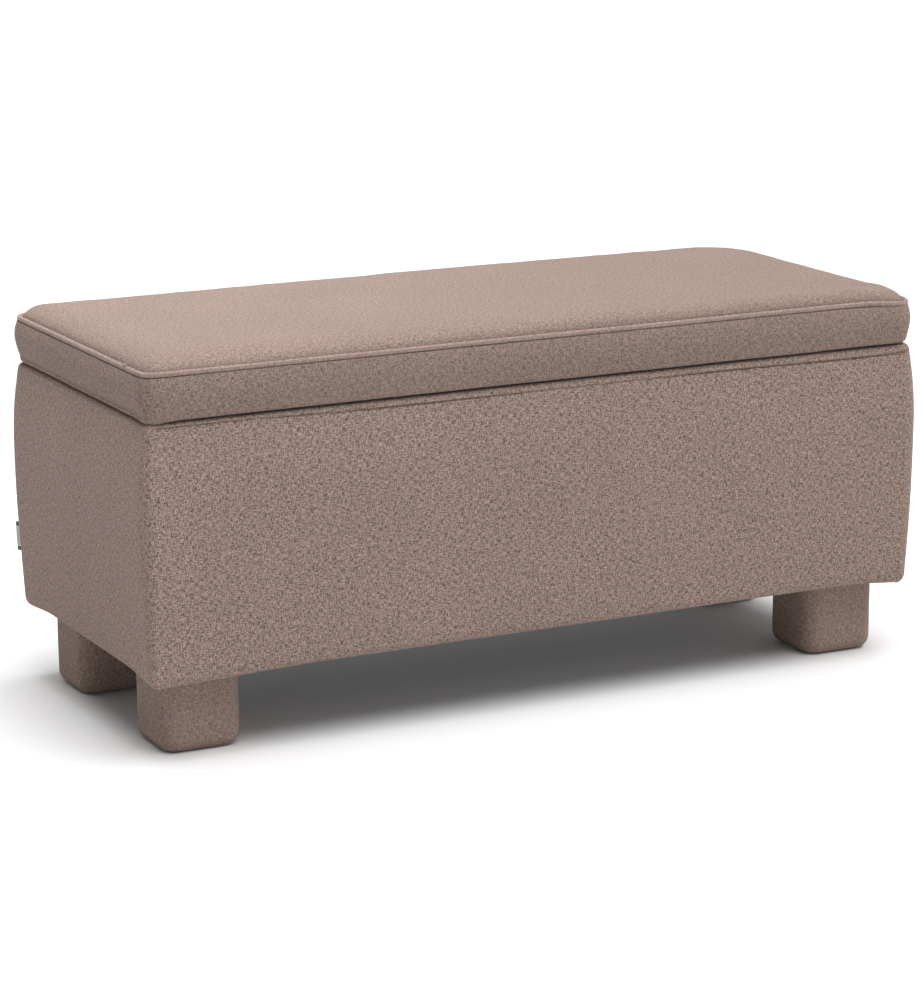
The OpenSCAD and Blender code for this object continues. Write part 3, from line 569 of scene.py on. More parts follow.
def woven_upholstery(name, colour, contrast, scale):
    """Plain-woven polyester with a linen look: slubby warp and weft that cross, and a soft dull sheen."""
    sizes = bpy.context.scene.bench_cloth
    material, tree, shader = start_material(name)
    place = add_node(tree, "ShaderNodeUVMap", uv_map="UVMap")
    # One unit of each pattern is one drawn thread; real threads are about 0.8 mm, too fine to show
    across, along = 1 / (sizes.thread * scale), 1 / (sizes.slub * scale)
    warp_place = add_node(tree, "ShaderNodeMapping",
                          {"Vector": place.outputs["UV"], "Scale": (across, along, 1)})
    weft_place = add_node(tree, "ShaderNodeMapping",
                          {"Vector": place.outputs["UV"], "Scale": (along, across, 1),
                           "Location": (3.7, 9.1, 0)})
    warp = add_node(tree, "ShaderNodeTexNoise",
                    {"Vector": warp_place.outputs[0], "Scale": 1.0, "Detail": 1.0, "Roughness": 0.5},
                    noise_dimensions="2D")
    weft = add_node(tree, "ShaderNodeTexNoise",
                    {"Vector": weft_place.outputs[0], "Scale": 1.0, "Detail": 1.0, "Roughness": 0.5},
                    noise_dimensions="2D")
    # Warp shows in some places and weft in others, in patches a few threads wide
    patch_place = add_node(tree, "ShaderNodeMapping",
                           {"Vector": place.outputs["UV"], "Scale": (across * 0.5, across * 0.5, 1),
                            "Location": (1.3, 5.9, 0)})
    patch = add_node(tree, "ShaderNodeTexNoise",
                     {"Vector": patch_place.outputs[0], "Scale": 1.0, "Detail": 1.0},
                     noise_dimensions="2D")
    above = add_node(tree, "ShaderNodeMapRange",
                     {"Value": patch.outputs["Fac"], "From Min": 0.44, "From Max": 0.56})
    threads = add_node(tree, "ShaderNodeMix",
                       {"Factor": above.outputs["Result"], "A": warp.outputs["Fac"],
                        "B": weft.outputs["Fac"]}, data_type="FLOAT")
    body_place = add_node(tree, "ShaderNodeTexCoord")
    # Dyeing is a little uneven over about 100 mm
    blotch = add_node(tree, "ShaderNodeTexNoise",
                      {"Vector": body_place.outputs["Object"], "Scale": 9.0, "Detail": 2.0})
    shade = add_node(tree, "ShaderNodeMapRange",
                     {"Value": threads.outputs[0], "From Min": 0.36, "From Max": 0.64,
                      "To Min": 1 - contrast, "To Max": 1 + contrast})
    cloud = add_node(tree, "ShaderNodeMapRange",
                     {"Value": blotch.outputs["Fac"], "From Min": 0.3, "From Max": 0.7,
                      "To Min": 0.97, "To Max": 1.03})
    depth = add_node(tree, "ShaderNodeMath",
                     {0: shade.outputs["Result"], 1: cloud.outputs["Result"]}, operation="MULTIPLY")
    hue = add_node(tree, "ShaderNodeMix",
                   {"Factor": weft.outputs["Fac"], "A": (*colour, 1),
                    "B": (colour[0] * 0.97, colour[1] * 1.0, colour[2] * 1.04, 1)},
                   data_type="RGBA")
    tone = add_node(tree, "ShaderNodeVectorMath",
                    {0: hue.outputs["Result"], "Scale": depth.outputs[0]}, operation="SCALE")
    tree.links.new(tone.outputs["Vector"], shader.inputs["Base Color"])
    bump = add_node(tree, "ShaderNodeBump",
                    {"Height": threads.outputs[0], "Strength": 0.7, "Distance": 0.5 * MM})
    tree.links.new(bump.outputs["Normal"], shader.inputs["Normal"])
    shader.inputs["Roughness"].default_value = 0.95
    shader.inputs["Specular IOR Level"].default_value = 0.2
    shader.inputs["Sheen Weight"].default_value = 0.10
    shader.inputs["Sheen Roughness"].default_value = 0.4
    shader.inputs["Sheen Tint"].default_value = (*linear("#FFF4EA"), 1)
    return material


def lining_cloth(name):
    """Spunbonded polypropylene lining: dull dark cloth with a pressed dot pattern."""
    material, tree, shader = start_material(name)
    place = add_node(tree, "ShaderNodeUVMap", uv_map="UVMap")
    # Pressed dots are about 2 mm apart
    dots = add_node(tree, "ShaderNodeTexVoronoi", {"Vector": place.outputs["UV"], "Scale": 480.0,
                                                    "Randomness": 0.25}, voronoi_dimensions="2D")
    fibres = add_node(tree, "ShaderNodeTexNoise",
                      {"Vector": place.outputs["UV"], "Scale": 900.0, "Detail": 2.0},
                      noise_dimensions="2D")
    colour = bpy.context.scene.bench_cloth.lining
    shade = add_node(tree, "ShaderNodeMix",
                     {"Factor": fibres.outputs["Fac"], "A": tuple(c * 0.85 for c in colour) + (1,),
                      "B": tuple(c * 1.2 for c in colour) + (1,)}, data_type="RGBA")
    bump = add_node(tree, "ShaderNodeBump",
                    {"Height": dots.outputs["Distance"], "Strength": 0.4, "Distance": 0.2 * MM})
    tree.links.new(shade.outputs["Result"], shader.inputs["Base Color"])
    tree.links.new(bump.outputs["Normal"], shader.inputs["Normal"])
    shader.inputs["Roughness"].default_value = 0.85
    shader.inputs["Sheen Weight"].default_value = 0.1
    return material


def pine_board(name, grain_axis):
    """Pine plywood, sanded but unfinished: pale cream with darker grain lines along the board."""
    material, tree, shader = start_material(name)
    place = add_node(tree, "ShaderNodeTexCoord")
    # Grain lines are about 5 mm apart and run 20 times as long
    stretch = [200.0, 200.0, 200.0]
    stretch[grain_axis] = 10.0
    grain_place = add_node(tree, "ShaderNodeMapping",
                           {"Vector": place.outputs["Object"], "Scale": tuple(stretch)})
    grain = add_node(tree, "ShaderNodeTexNoise",
                     {"Vector": grain_place.outputs[0], "Scale": 1.0, "Detail": 5.0, "Roughness": 0.6,
                      "Distortion": 0.4})
    ramp_node = add_node(tree, "ShaderNodeValToRGB", {"Fac": grain.outputs["Fac"]})
    ramp_node.color_ramp.elements[0].position = 0.35
    ramp_node.color_ramp.elements[0].color = (*linear("#B48A58"), 1)
    ramp_node.color_ramp.elements[1].position = 0.62
    ramp_node.color_ramp.elements[1].color = (*linear("#DDBE8E"), 1)
    bump = add_node(tree, "ShaderNodeBump",
                    {"Height": grain.outputs["Fac"], "Strength": 0.25, "Distance": 0.3 * MM})
    tree.links.new(ramp_node.outputs["Color"], shader.inputs["Base Color"])
    tree.links.new(bump.outputs["Normal"], shader.inputs["Normal"])
    shader.inputs["Roughness"].default_value = 0.6
    return material


def zinc_plated_steel(name):
    """Bright zinc-plated steel, pressed or turned: cool grey metal with a faint cloudy spangle."""
    material, tree, shader = start_material(name)
    place = add_node(tree, "ShaderNodeTexCoord")
    cloud = add_node(tree, "ShaderNodeTexNoise",
                     {"Vector": place.outputs["Object"], "Scale": 160.0, "Detail": 3.0})
    tint = add_node(tree, "ShaderNodeMix",
                    {"Factor": cloud.outputs["Fac"], "A": (*linear("#A9ADB3"), 1),
                     "B": (*linear("#CDD0D3"), 1)}, data_type="RGBA")
    rough = add_node(tree, "ShaderNodeMapRange",
                     {"Value": cloud.outputs["Fac"], "To Min": 0.26, "To Max": 0.44})
    tree.links.new(tint.outputs["Result"], shader.inputs["Base Color"])
    tree.links.new(rough.outputs["Result"], shader.inputs["Roughness"])
    shader.inputs["Metallic"].default_value = 1.0
    return material


def moulded_rubber(name, hex_colour, roughness):
    """Moulded rubber or plastic: dark and dull, with a fine moulded grain."""
    material, tree, shader = start_material(name)
    place = add_node(tree, "ShaderNodeTexCoord")
    # The moulded grain is about 0.5 mm
    grain = add_node(tree, "ShaderNodeTexNoise",
                     {"Vector": place.outputs["Object"], "Scale": 2000.0, "Detail": 2.0})
    colour = linear(hex_colour)
    shade = add_node(tree, "ShaderNodeMix",
                     {"Factor": grain.outputs["Fac"], "A": tuple(c * 0.8 for c in colour) + (1,),
                      "B": tuple(c * 1.25 for c in colour) + (1,)}, data_type="RGBA")
    bump = add_node(tree, "ShaderNodeBump",
                    {"Height": grain.outputs["Fac"], "Strength": 0.3, "Distance": 0.1 * MM})
    tree.links.new(shade.outputs["Result"], shader.inputs["Base Color"])
    tree.links.new(bump.outputs["Normal"], shader.inputs["Normal"])
    shader.inputs["Roughness"].default_value = roughness
    return material


def sewing_thread(name):
    """Twisted polyester thread, a shade lighter than the cloth, with a slight lustre."""
    material, tree, shader = start_material(name)
    place = add_node(tree, "ShaderNodeTexCoord")
    twist = add_node(tree, "ShaderNodeTexNoise",
                     {"Vector": place.outputs["Object"], "Scale": 1500.0, "Detail": 1.0})
    shade = add_node(tree, "ShaderNodeMix",
                     {"Factor": twist.outputs["Fac"], "A": (*linear("#8D7568"), 1),
                      "B": (*linear("#B39C8E"), 1)}, data_type="RGBA")
    tree.links.new(shade.outputs["Result"], shader.inputs["Base Color"])
    shader.inputs["Roughness"].default_value = 0.6
    return material


def woven_tape(name):
    """Woven satin label tape: pale grey with fine ribs and a dark band at each end, no lettering."""
    material, tree, shader = start_material(name)
    place = add_node(tree, "ShaderNodeUVMap", uv_map="UVMap")
    apart = add_node(tree, "ShaderNodeSeparateXYZ", {"Vector": place.outputs["UV"]})
    tall = LABEL_HIGH.z - LABEL_LOW.z
    # A band of about 5 mm at each end of the tape
    middle = add_node(tree, "ShaderNodeMath", {0: apart.outputs["Y"], 1: tall / 2},
                      operation="SUBTRACT")
    off = add_node(tree, "ShaderNodeMath", {0: middle.outputs[0]}, operation="ABSOLUTE")
    band = add_node(tree, "ShaderNodeMath", {0: off.outputs[0], 1: tall / 2 - 5 * MM},
                    operation="GREATER_THAN")
    # Ribs are 0.5 mm apart
    ribs = add_node(tree, "ShaderNodeTexWave", {"Vector": place.outputs["UV"], "Scale": 320.0},
                    bands_direction="Y")
    pale = add_node(tree, "ShaderNodeMix",
                    {"Factor": ribs.outputs["Fac"], "A": (*linear("#A6A19D"), 1),
                     "B": (*linear("#C6C1BC"), 1)}, data_type="RGBA")
    shade = add_node(tree, "ShaderNodeMix",
                     {"Factor": band.outputs[0], "A": pale.outputs["Result"],
                      "B": (*linear("#4A4340"), 1)}, data_type="RGBA")
    tree.links.new(shade.outputs["Result"], shader.inputs["Base Color"])
    bump = add_node(tree, "ShaderNodeBump",
                    {"Height": ribs.outputs["Fac"], "Strength": 0.3, "Distance": 0.1 * MM})
    tree.links.new(bump.outputs["Normal"], shader.inputs["Normal"])
    shader.inputs["Roughness"].default_value = 0.55
    shader.inputs["Sheen Weight"].default_value = 0.1
    return material


def pale_floor(name):
    """Matt studio paper: pale, with the faintest mottling."""
    material, tree, shader = start_material(name)
    place = add_node(tree, "ShaderNodeTexCoord")
    mottle = add_node(tree, "ShaderNodeTexNoise", {"Vector": place.outputs["Object"], "Scale": 0.8})
    shade = add_node(tree, "ShaderNodeMix",
                     {"Factor": mottle.outputs["Fac"], "A": (0.74, 0.74, 0.74, 1),
                      "B": (0.76, 0.76, 0.76, 1)}, data_type="RGBA")
    tree.links.new(shade.outputs["Result"], shader.inputs["Base Color"])
    shader.inputs["Roughness"].default_value = 0.9
    shader.inputs["Specular IOR Level"].default_value = 0.1
    return material


# Cover of each part: how much darker its colour is painted (painted shade, not dye), how strongly its threads
# differ, and their scale
WEAVES = {
    "woven_cover_long_sides": (1.0, 0.56, 1.0),
    "woven_cover_ends": (1.0, 0.42, 1.0),
    "woven_cover_top": (1.0, 0.36, 0.9),
    # The boxing's colour is darkened by painted shade, standing in for the shade under the overhanging piping
    "woven_cover_boxing": (0.89, 0.40, 1.0),
    "woven_cover_legs": (1.0, 0.34, 1.0),
    "piping_cloth": (1.0, 0.36, 0.9),
}
MAKERS = {
    "spunbond_lining": lining_cloth,
    "pine_board_lengthwise": lambda name: pine_board(name, 0),
    "pine_board_crosswise": lambda name: pine_board(name, 1),
    "pine_block": lambda name: pine_board(name, 2),
    "zinc_plated_steel": zinc_plated_steel,
    "staple_wire": zinc_plated_steel,
    "black_rubber": lambda name: moulded_rubber(name, "#262524", 0.75),
    "glide_plastic": lambda name: moulded_rubber(name, "#3A3836", 0.5),
    "sewing_thread": sewing_thread,
    "woven_label_tape": woven_tape,
    "studio_paper": pale_floor,
}
MATERIALS = {}


def make_weave(name):
    """The woven cover of one part, in the cover's colour or the piping's."""
    cloth = bpy.context.scene.bench_cloth
    painted_shade, contrast, scale = WEAVES[name]
    colour = cloth.piping if name == "piping_cloth" else cloth.cover
    # The cover's colour is multiplied by the part's painted shade
    return woven_upholstery(name, tuple(c * painted_shade for c in colour), contrast, scale)


def finish(name):
    """Makes a finish the first time it is asked for."""
    if name not in MATERIALS:
        MATERIALS[name] = make_weave(name) if name in WEAVES else MAKERS[name](name)
    return MATERIALS[name]


# ---- Body ----

# Gap between a padded piece and the wood it is fixed to
CLEAR = 0.2 * MM
# The seam along the rim: its width, its depth, how much shallower it is in the middle, and on the ends
SEAM_WIDTH = 1.3 * MM
SEAM_DEPTH = 3.2 * MM
SEAM_FILL = 1.4 * MM
END_SEAM_DEPTH = 0.3 * MM
# How far that seam drops towards a side's right end, and rises towards its left
SEAM_DROP = 2.4 * MM
SEAM_RISE = 3.0 * MM
# How far the covers pull in at the upright corner seams of the body and of the boxing
CORNER_PULL = 0.4 * MM
BOXING_PULL = 0.5 * MM
# Broad and fine unevenness of the padding, each with its height and the size of its features
BODY_SWELLS = ((1.4 * MM, 3.1, 0.21), (0.5 * MM, 7.7, 0.06))
BOXING_SWELLS = ((0.9 * MM, 11.3, 0.11), (0.35 * MM, 5.9, 0.03))


def unevenness(swells, side, distance, z):
    """How far a padded face stands out or in at a place, from its swells' heights, seeds and sizes."""
    return sum(height * ripple(distance, z, seed + side, size) for height, seed, size in swells)


def body_section():
    """Outline of a padded side: mouth, rim, seam, bulge, foot, and back along the wood."""
    sizes = bpy.context.scene.bench_body
    rim, under = BODY_HIGH.z, BODY_LOW.z
    wood_out = sizes.corner - (BODY_HIGH.x - WOOD_HIGH.x)
    wood_in = wood_out - sizes.panel
    mouth = wood_in - sizes.cloth
    hem = rim - sizes.hem
    edge = 2.5 * MM
    roll_centre = (sizes.corner - sizes.rim_in - sizes.rim_roll, rim - sizes.rim_roll)
    foot_centre = (sizes.corner - sizes.foot_in - sizes.foot_roll, under + sizes.foot_roll)
    section = Section()
    section.add([(mouth, hem)] + along_line((mouth, hem), (mouth, rim - edge), 5), False)
    section.add(arc((mouth + edge, rim - edge), edge, 180, 90, 4)[1:], False)
    section.add(along_line((mouth + edge, rim), (roll_centre[0], rim), 5), True)
    section.add(arc(roll_centre, sizes.rim_roll, 90, 0, 8)[1:], True)
    top, foot = roll_centre[1], foot_centre[1]
    # The outline's points are closest together where the rim's seam is
    near = [0.5, 1.0, 1.6, 2.2, 2.9, 3.7, 4.8, 6.3, 8.5]
    heights = [top - step * MM for step in near]
    rest, spacing = heights[-1] - foot, 4.8 * MM
    steps = round(rest / spacing)
    heights += [heights[-1] - rest * i / steps for i in range(1, steps)]
    section.add([(sizes.corner - side_inset(z, top, foot), z) for z in heights], True)
    section.add(arc(foot_centre, sizes.foot_roll, 0, -90, 9), True)
    section.add(along_line((foot_centre[0], under), (wood_in, under), 4), False)
    base, head = BASE_LOW.z - CLEAR, WOOD_HIGH.z + CLEAR
    outer, inner = wood_out + CLEAR, wood_in - CLEAR
    section.add([(wood_in, base)] + along_line((wood_in, base), (outer, base), 3), False)
    section.add(along_line((outer, base), (outer, head), 10), False)
    section.add(along_line((outer, head), (inner, head), 3), False)
    section.add(along_line((inner, head), (inner, hem), 3), False)
    return section


def side_inset(z, top, foot):
    """How far a padded side sits in from its fullest line at a height."""
    sizes = bpy.context.scene.bench_body
    if z < sizes.bulge:
        return sizes.foot_in * ((sizes.bulge - z) / (sizes.bulge - foot)) ** 2
    return sizes.rim_in * ((z - sizes.bulge) / (top - sizes.bulge)) ** 2


def body_shape(side, distance, turn, share, rho, z):
    """Gives a padded side its sewn seam, soft unevenness and sagging lower corners."""
    sizes = bpy.context.scene.bench_body
    seam = BODY_HIGH.z - sizes.rim_roll
    long_side = side in (FRONT, BACK)
    corner = ramp(abs(turn), 0.0, MITRE)
    # The left end of a long side sags over a longer stretch than its right end
    end = ramp(abs(share), 0.55 if share < 0 or not long_side else 0.82, 1.0)
    on_side = ramp(z, BODY_LOW.z, BODY_LOW.z + 30 * MM) * (1 - ramp(z, seam - 2 * MM, BODY_HIGH.z))
    line = seam - SEAM_DROP * ramp(share, 0.35, 0.85) * (1 - ramp(share, 0.90, 1.0))
    line += SEAM_RISE * ramp(-share, 0.40, 0.85)
    depth = END_SEAM_DEPTH
    if long_side:
        depth = SEAM_DEPTH - SEAM_FILL * (1 - ramp(abs(share - 0.1), 0.1, 0.35))
    groove = math.exp(-((z - line) / SEAM_WIDTH) ** 2) * depth
    uneven = unevenness(BODY_SWELLS, side, distance, z)
    rho += on_side * uneven * (1 - 0.7 * corner) - groove * (1 - corner)
    # A faint crease below the rim of the ends
    if not long_side:
        crease_depth, crease_drop, crease_width = 0.7 * MM, 17 * MM, 3 * MM
        rho -= crease_depth * math.exp(-((z - seam + crease_drop) / crease_width) ** 2) * (1 - corner)
    # The corner seam, where both covers pull in a little
    rho -= CORNER_PULL * ramp(abs(turn), MITRE - SEAM_TURN, MITRE) * on_side
    low = 1 - ramp(z, BODY_LOW.z + 4 * MM, BODY_LOW.z + 70 * MM)
    sag = (sizes.droop * end + 1.0 * MM * corner) * low
    # The part that lies against the board's underside doesn't sag
    if rho < 6 * MM:
        sag *= ramp(rho, 3 * MM, 6 * MM)
    tight = sizes.tight if seam_corner(side, turn) else sizes.corner
    return rho * drawn_corner(turn, sizes.corner, tight), z - sag


class BENCH_OT_padded_sides(bpy.types.Operator):
    """Padded and covered sides of the body"""
    bl_idname = "bench.padded_sides"
    bl_label = "Padded Sides"

    def execute(self, context):
        section = body_section()
        sizes = context.scene.bench_body
        seam = BODY_HIGH.z - sizes.rim_roll
        for side, name in enumerate(SIDE_NAMES):
            material = finish("woven_cover_long_sides" if side in (FRONT, BACK) else "woven_cover_ends")
            piece = sweep_side(name + "_upholstery", side, BODY_HIGH.x, BODY_HIGH.y, sizes.corner,
                               section, seam, body_shape, material)
            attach(piece, "carcass")
            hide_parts(name + "_cover", name + "_padding")
        return {"FINISHED"}


# ---- Lid ----

# How far in from its edge the crown's cover stays down in the seam before it rises
CROWN_TUCK = 1.6 * MM
# How far the left end leans in towards its lower edge
LEAN = 3.5 * MM
# How far the boxing's lower edge hangs in the middle, more at corners, and more at the front left one
HANG, CORNER_HANG, LEFT_HANG = 1.3 * MM, 0.9 * MM, 2.0 * MM
# Where the right corners' droop starts, in from the end
DROOP_REACH = 110 * MM


def boxing_section():
    """Outline of a padded boxing strip: hem, lower roll, side, seam at the top, and back along the board."""
    sizes = bpy.context.scene.bench_lid
    under, top = BOXING_LOW.z, BOXING_HIGH.z
    board = sizes.corner - (BOXING_HIGH.x - BOARD_HIGH.x)
    foam = sizes.corner - (BOXING_HIGH.x - CROWN_HIGH.x) - CROWN_TUCK
    hem = board - (BOARD_HIGH.x - LID_LINING_HIGH.x)
    centre = (sizes.corner - sizes.edge_in - sizes.roll, under + sizes.roll)
    middle = (centre[1] + PIPING_LOW.z + sizes.piping / 2) / 2
    section = Section()
    section.add([(hem, under)], False)
    section.add(along_line((hem, under), (centre[0], under), 8), True)
    section.add(arc(centre, sizes.roll, -90, 0, 9)[1:], True)
    steps = 12
    for i in range(1, steps + 1):
        z = centre[1] + (top - centre[1]) * i / steps
        if z < middle:
            inset = sizes.edge_in * ((middle - z) / (middle - centre[1])) ** 2
        else:
            inset = sizes.top_in * ((z - middle) / (top + sizes.piping / 2 - middle)) ** 2
        section.add([(sizes.corner - inset, z)], True)
    last = section.points[-1]
    section.add(along_line(last, (foam, top), 2), False)
    above, below, beside = BOARD_HIGH.z + CLEAR, BOARD_LOW.z - CLEAR, board + CLEAR
    section.add(along_line((foam, top), (foam, above), 4), False)
    section.add([(beside, above)], False)
    section.add(along_line((beside, BOARD_HIGH.z), (beside, below), 2), False)
    section.add(along_line((beside, below), (hem, below), 4), False)
    return section


def boxing_shape(side, distance, turn, share, rho, z):
    """Gives a boxing strip soft unevenness, and lets its corners hang down to the body."""
    sizes = bpy.context.scene.bench_lid
    under, top = BOXING_LOW.z, BOXING_HIGH.z
    corner = ramp(abs(turn), 0.0, MITRE)
    body = ramp(z, under, under + 14 * MM) * (1 - ramp(z, top - 8 * MM, top))
    rho += body * unevenness(BOXING_SWELLS, side, distance, z)
    rho -= BOXING_PULL * ramp(abs(turn), MITRE - SEAM_TURN, MITRE) * body
    low = 1 - ramp(z, under, under + 22 * MM)
    if rho > 15 * MM:
        # The corners hang lowest, and the middles a little less
        hang = HANG + CORNER_HANG * corner
        if seam_corner(side, distance):
            hang += LEFT_HANG * ramp(abs(share), 0.90 if side == FRONT else 0.80, 1.0)
        lift = 0.6 * MM * ripple(distance, 0.0, 2.2 + side, 0.13) * (1 - corner)
        z -= low * (hang - lift)
    if side == LEFT:
        low_side = (1 - ramp(z, under + 2 * MM, under + 36 * MM)) * ramp(z, under, under + 6 * MM)
        rho -= LEAN * (1 - corner) * low_side
    half = BOXING_HIGH.x if side in (FRONT, BACK) else BOXING_HIGH.y
    # The top droops towards the right corners: at both ends of the right side, and one end of the long ones
    to_right = {FRONT: distance, RIGHT: abs(distance), BACK: -distance}
    if side in to_right:
        near_right = ramp(to_right[side], half - DROOP_REACH, half - 20 * MM)
        z -= sizes.droop * near_right * ramp(z, under + 12 * MM, top)
    tight = sizes.tight if seam_corner(side, turn) else sizes.corner
    return rho * drawn_corner(turn, sizes.corner, tight), z


def corner_droop(x, y):
    """How far the lid's top hangs down at a place near either right corner."""
    sizes = bpy.context.scene.bench_lid
    reach = 85 * MM
    return (sizes.droop * ramp(x, BOXING_HIGH.x - reach, BOXING_HIGH.x - 8 * MM)
            * ramp(abs(y), BOXING_HIGH.y - reach, BOXING_HIGH.y - 8 * MM))


class BENCH_OT_lid_boxing(bpy.types.Operator):
    """Padded boxing strips round the lid"""
    bl_idname = "bench.lid_boxing"
    bl_label = "Lid Boxing"

    def execute(self, context):
        section = boxing_section()
        sizes = context.scene.bench_lid
        for side, name in enumerate(SIDE_NAMES):
            # The boxing's cover is painted darker than the other covers: painted shade
            piece = sweep_side(name + "_boxing_strip", side, BOXING_HIGH.x, BOXING_HIGH.y, sizes.corner,
                               section, BOXING_HIGH.z, boxing_shape, finish("woven_cover_boxing"))
            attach(piece, "lid")
            nodes = (name + "_boxing",) + (("lid_wadding",) if side == FRONT else ())
            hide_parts(*nodes)
        return {"FINISHED"}


def edge_distances(half, step):
    """Distances in from an edge to the middle: close together at first, then a step apart."""
    near = [0.0, 1.0, 2.2, 3.6, 5.2, 7.0, 9.0, 11.5, 14.5, 18.0, 22.0, 26.5, 31.5, 37.0, 43.0, 49.5]
    distances = [d * MM for d in near]
    rest = half - distances[-1]
    count = round(rest / step)
    return distances + [distances[-1] + rest * i / count for i in range(1, count + 1)]


def mirror_places(half, step):
    """Places across a width, close together near both edges."""
    inwards = edge_distances(half, step)
    low = [-half + d for d in inwards]
    return low + [half - d for d in reversed(inwards[:-1])]


def round_corner(x, y, half_x, half_y, radius):
    """Moves a point of a rectangle's corner square on to the rounded corner's disc."""
    p, q = abs(x) - (half_x - radius), abs(y) - (half_y - radius)
    if p <= 0 or q <= 0:
        return x, y
    scale = max(p, q) / math.hypot(p, q)
    return (math.copysign(half_x - radius + p * scale, x), math.copysign(half_y - radius + q * scale, y))


def inside_distance(x, y, half_x, half_y, radius):
    """Distance of a point in from the edge of a rounded rectangle."""
    p, q = abs(x) - (half_x - radius), abs(y) - (half_y - radius)
    return radius - math.hypot(max(p, 0), max(q, 0)) - min(max(p, q), 0)


def crown_rise(depth, reach, height, power):
    """Height of the stuffed top at a distance in from the piping."""
    share = 1 - min(max(depth, 0.0) / reach, 1.0)
    return height * (1 - share ** power) ** 0.5


def crown_height(x, y, half_x, half_y, radius):
    """Height of the lid's top at a place, with its dome, dents and puckers along the piping."""
    sizes = bpy.context.scene.bench_lid
    foot = CROWN_LOW.z + 0.5 * MM
    depth = inside_distance(x, y, half_x, half_y, radius)
    wider = 0.12 * ripple(x, y, 21.0, 0.16) + 0.5 * ramp(x, half_x - 90 * MM, half_x)
    reach = sizes.crown_reach * (1 + wider)
    # The front edge is firmer and steeper towards the right
    firm = ramp(x, -0.30, 0.05) * (1 - ramp(y, -half_y + 40 * MM, -half_y + 80 * MM))
    depth = max(depth - CROWN_TUCK, 0.0)
    z = foot + crown_rise(depth, reach * (1 - 0.42 * firm), CROWN_HIGH.z - foot, 2.6 + 0.6 * firm)
    z -= corner_droop(x, y)
    broad = ramp(depth, 10 * MM, 120 * MM)
    z += sizes.dome * broad + 0.9 * MM * broad * ripple(x, y, 14.0, 0.19)
    # The filling is a little flatter towards the right end
    z -= (sizes.slump * ramp(x, 0.1, half_x) - 1.2 * MM) * ramp(depth, 6 * MM, 50 * MM)
    edge = ramp(depth, 0.5 * MM, 9 * MM) * (1 - ramp(depth, 18 * MM, 60 * MM))
    z += edge * (0.55 * MM * ripple(x, y, 31.0, 0.035) + 0.7 * MM * ripple(x, y, 37.0, 0.085))
    return z


class BENCH_OT_lid_top(bpy.types.Operator):
    """Stuffed and crowned top of the lid"""
    bl_idname = "bench.lid_top"
    bl_label = "Lid Top"

    def execute(self, context):
        sizes = context.scene.bench_lid
        inset = BOXING_HIGH.x - CROWN_HIGH.x
        half_x, half_y = CROWN_HIGH.x, CROWN_HIGH.y
        xs, ys = mirror_places(half_x, 7 * MM), mirror_places(half_y, 7 * MM)
        wide, deep = len(xs), len(ys)
        points, places = [], []
        for y0 in ys:
            for x0 in xs:
                radius = (sizes.tight if x0 < 0 and y0 < 0 else sizes.corner) - inset
                x, y = round_corner(x0, y0, half_x, half_y, radius)
                points.append((x, y, crown_height(x, y, half_x, half_y, radius)))
                places.append((x, y))
        # The weave's map follows the slope: distances along each row and column of the mesh
        grid = np.array(points).reshape(deep, wide, 3)
        along = np.cumsum(np.linalg.norm(np.diff(grid, axis=1), axis=2), axis=1)
        along = np.concatenate([np.zeros((deep, 1)), along], axis=1) - along[:, -1:] / 2
        across = np.cumsum(np.linalg.norm(np.diff(grid, axis=0), axis=2), axis=0)
        across = np.concatenate([np.zeros((1, wide)), across], axis=0) - across[-1:] / 2
        cloth = np.stack([along, across], axis=2).reshape(-1, 2).tolist()
        faces, coordinates = [], []
        for j in range(deep - 1):
            for i in range(wide - 1):
                face = (j * wide + i, j * wide + i + 1, (j + 1) * wide + i + 1, (j + 1) * wide + i)
                faces.append(face)
                coordinates += [cloth[k] for k in face]
        border = list(range(wide))
        border += [j * wide + wide - 1 for j in range(1, deep)]
        border += [(deep - 1) * wide + i for i in range(wide - 2, -1, -1)]
        border += [j * wide for j in range(deep - 2, 0, -1)]
        walls = [border]
        for step, z in ((0.3 * MM, CROWN_LOW.z), (1.9 * MM, CROWN_LOW.z - 1 * MM),
                        (1.9 * MM, (CROWN_LOW.z + BOARD_HIGH.z) / 2), (1.9 * MM, BOARD_HIGH.z + CLEAR)):
            ring = []
            for k in border:
                x, y = places[k]
                scale_x, scale_y = (half_x - step) / half_x, (half_y - step) / half_y
                ring.append(len(points))
                drop = corner_droop(x, y) * (z > BOARD_HIGH.z + 10 * MM)
                points.append((x * scale_x, y * scale_y, z - drop))
            walls.append(ring)
        for upper, lower in zip(walls, walls[1:]):
            for k in range(len(border)):
                nxt = (k + 1) % len(border)
                faces.append((upper[k], lower[k], lower[nxt], upper[nxt]))
                a, b = places[border[k]], places[border[nxt]]
                coordinates += [a, (a[0], a[1] - 5 * MM), (b[0], b[1] - 5 * MM), b]
        faces.append(tuple(walls[-1]))
        coordinates += [places[k] for k in border]
        piece = add_piece("lid_top_upholstery", points, faces, coordinates, finish("woven_cover_top"), 70)
        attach(piece, "lid")
        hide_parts("lid_top_cover", "lid_foam")
        return {"FINISHED"}


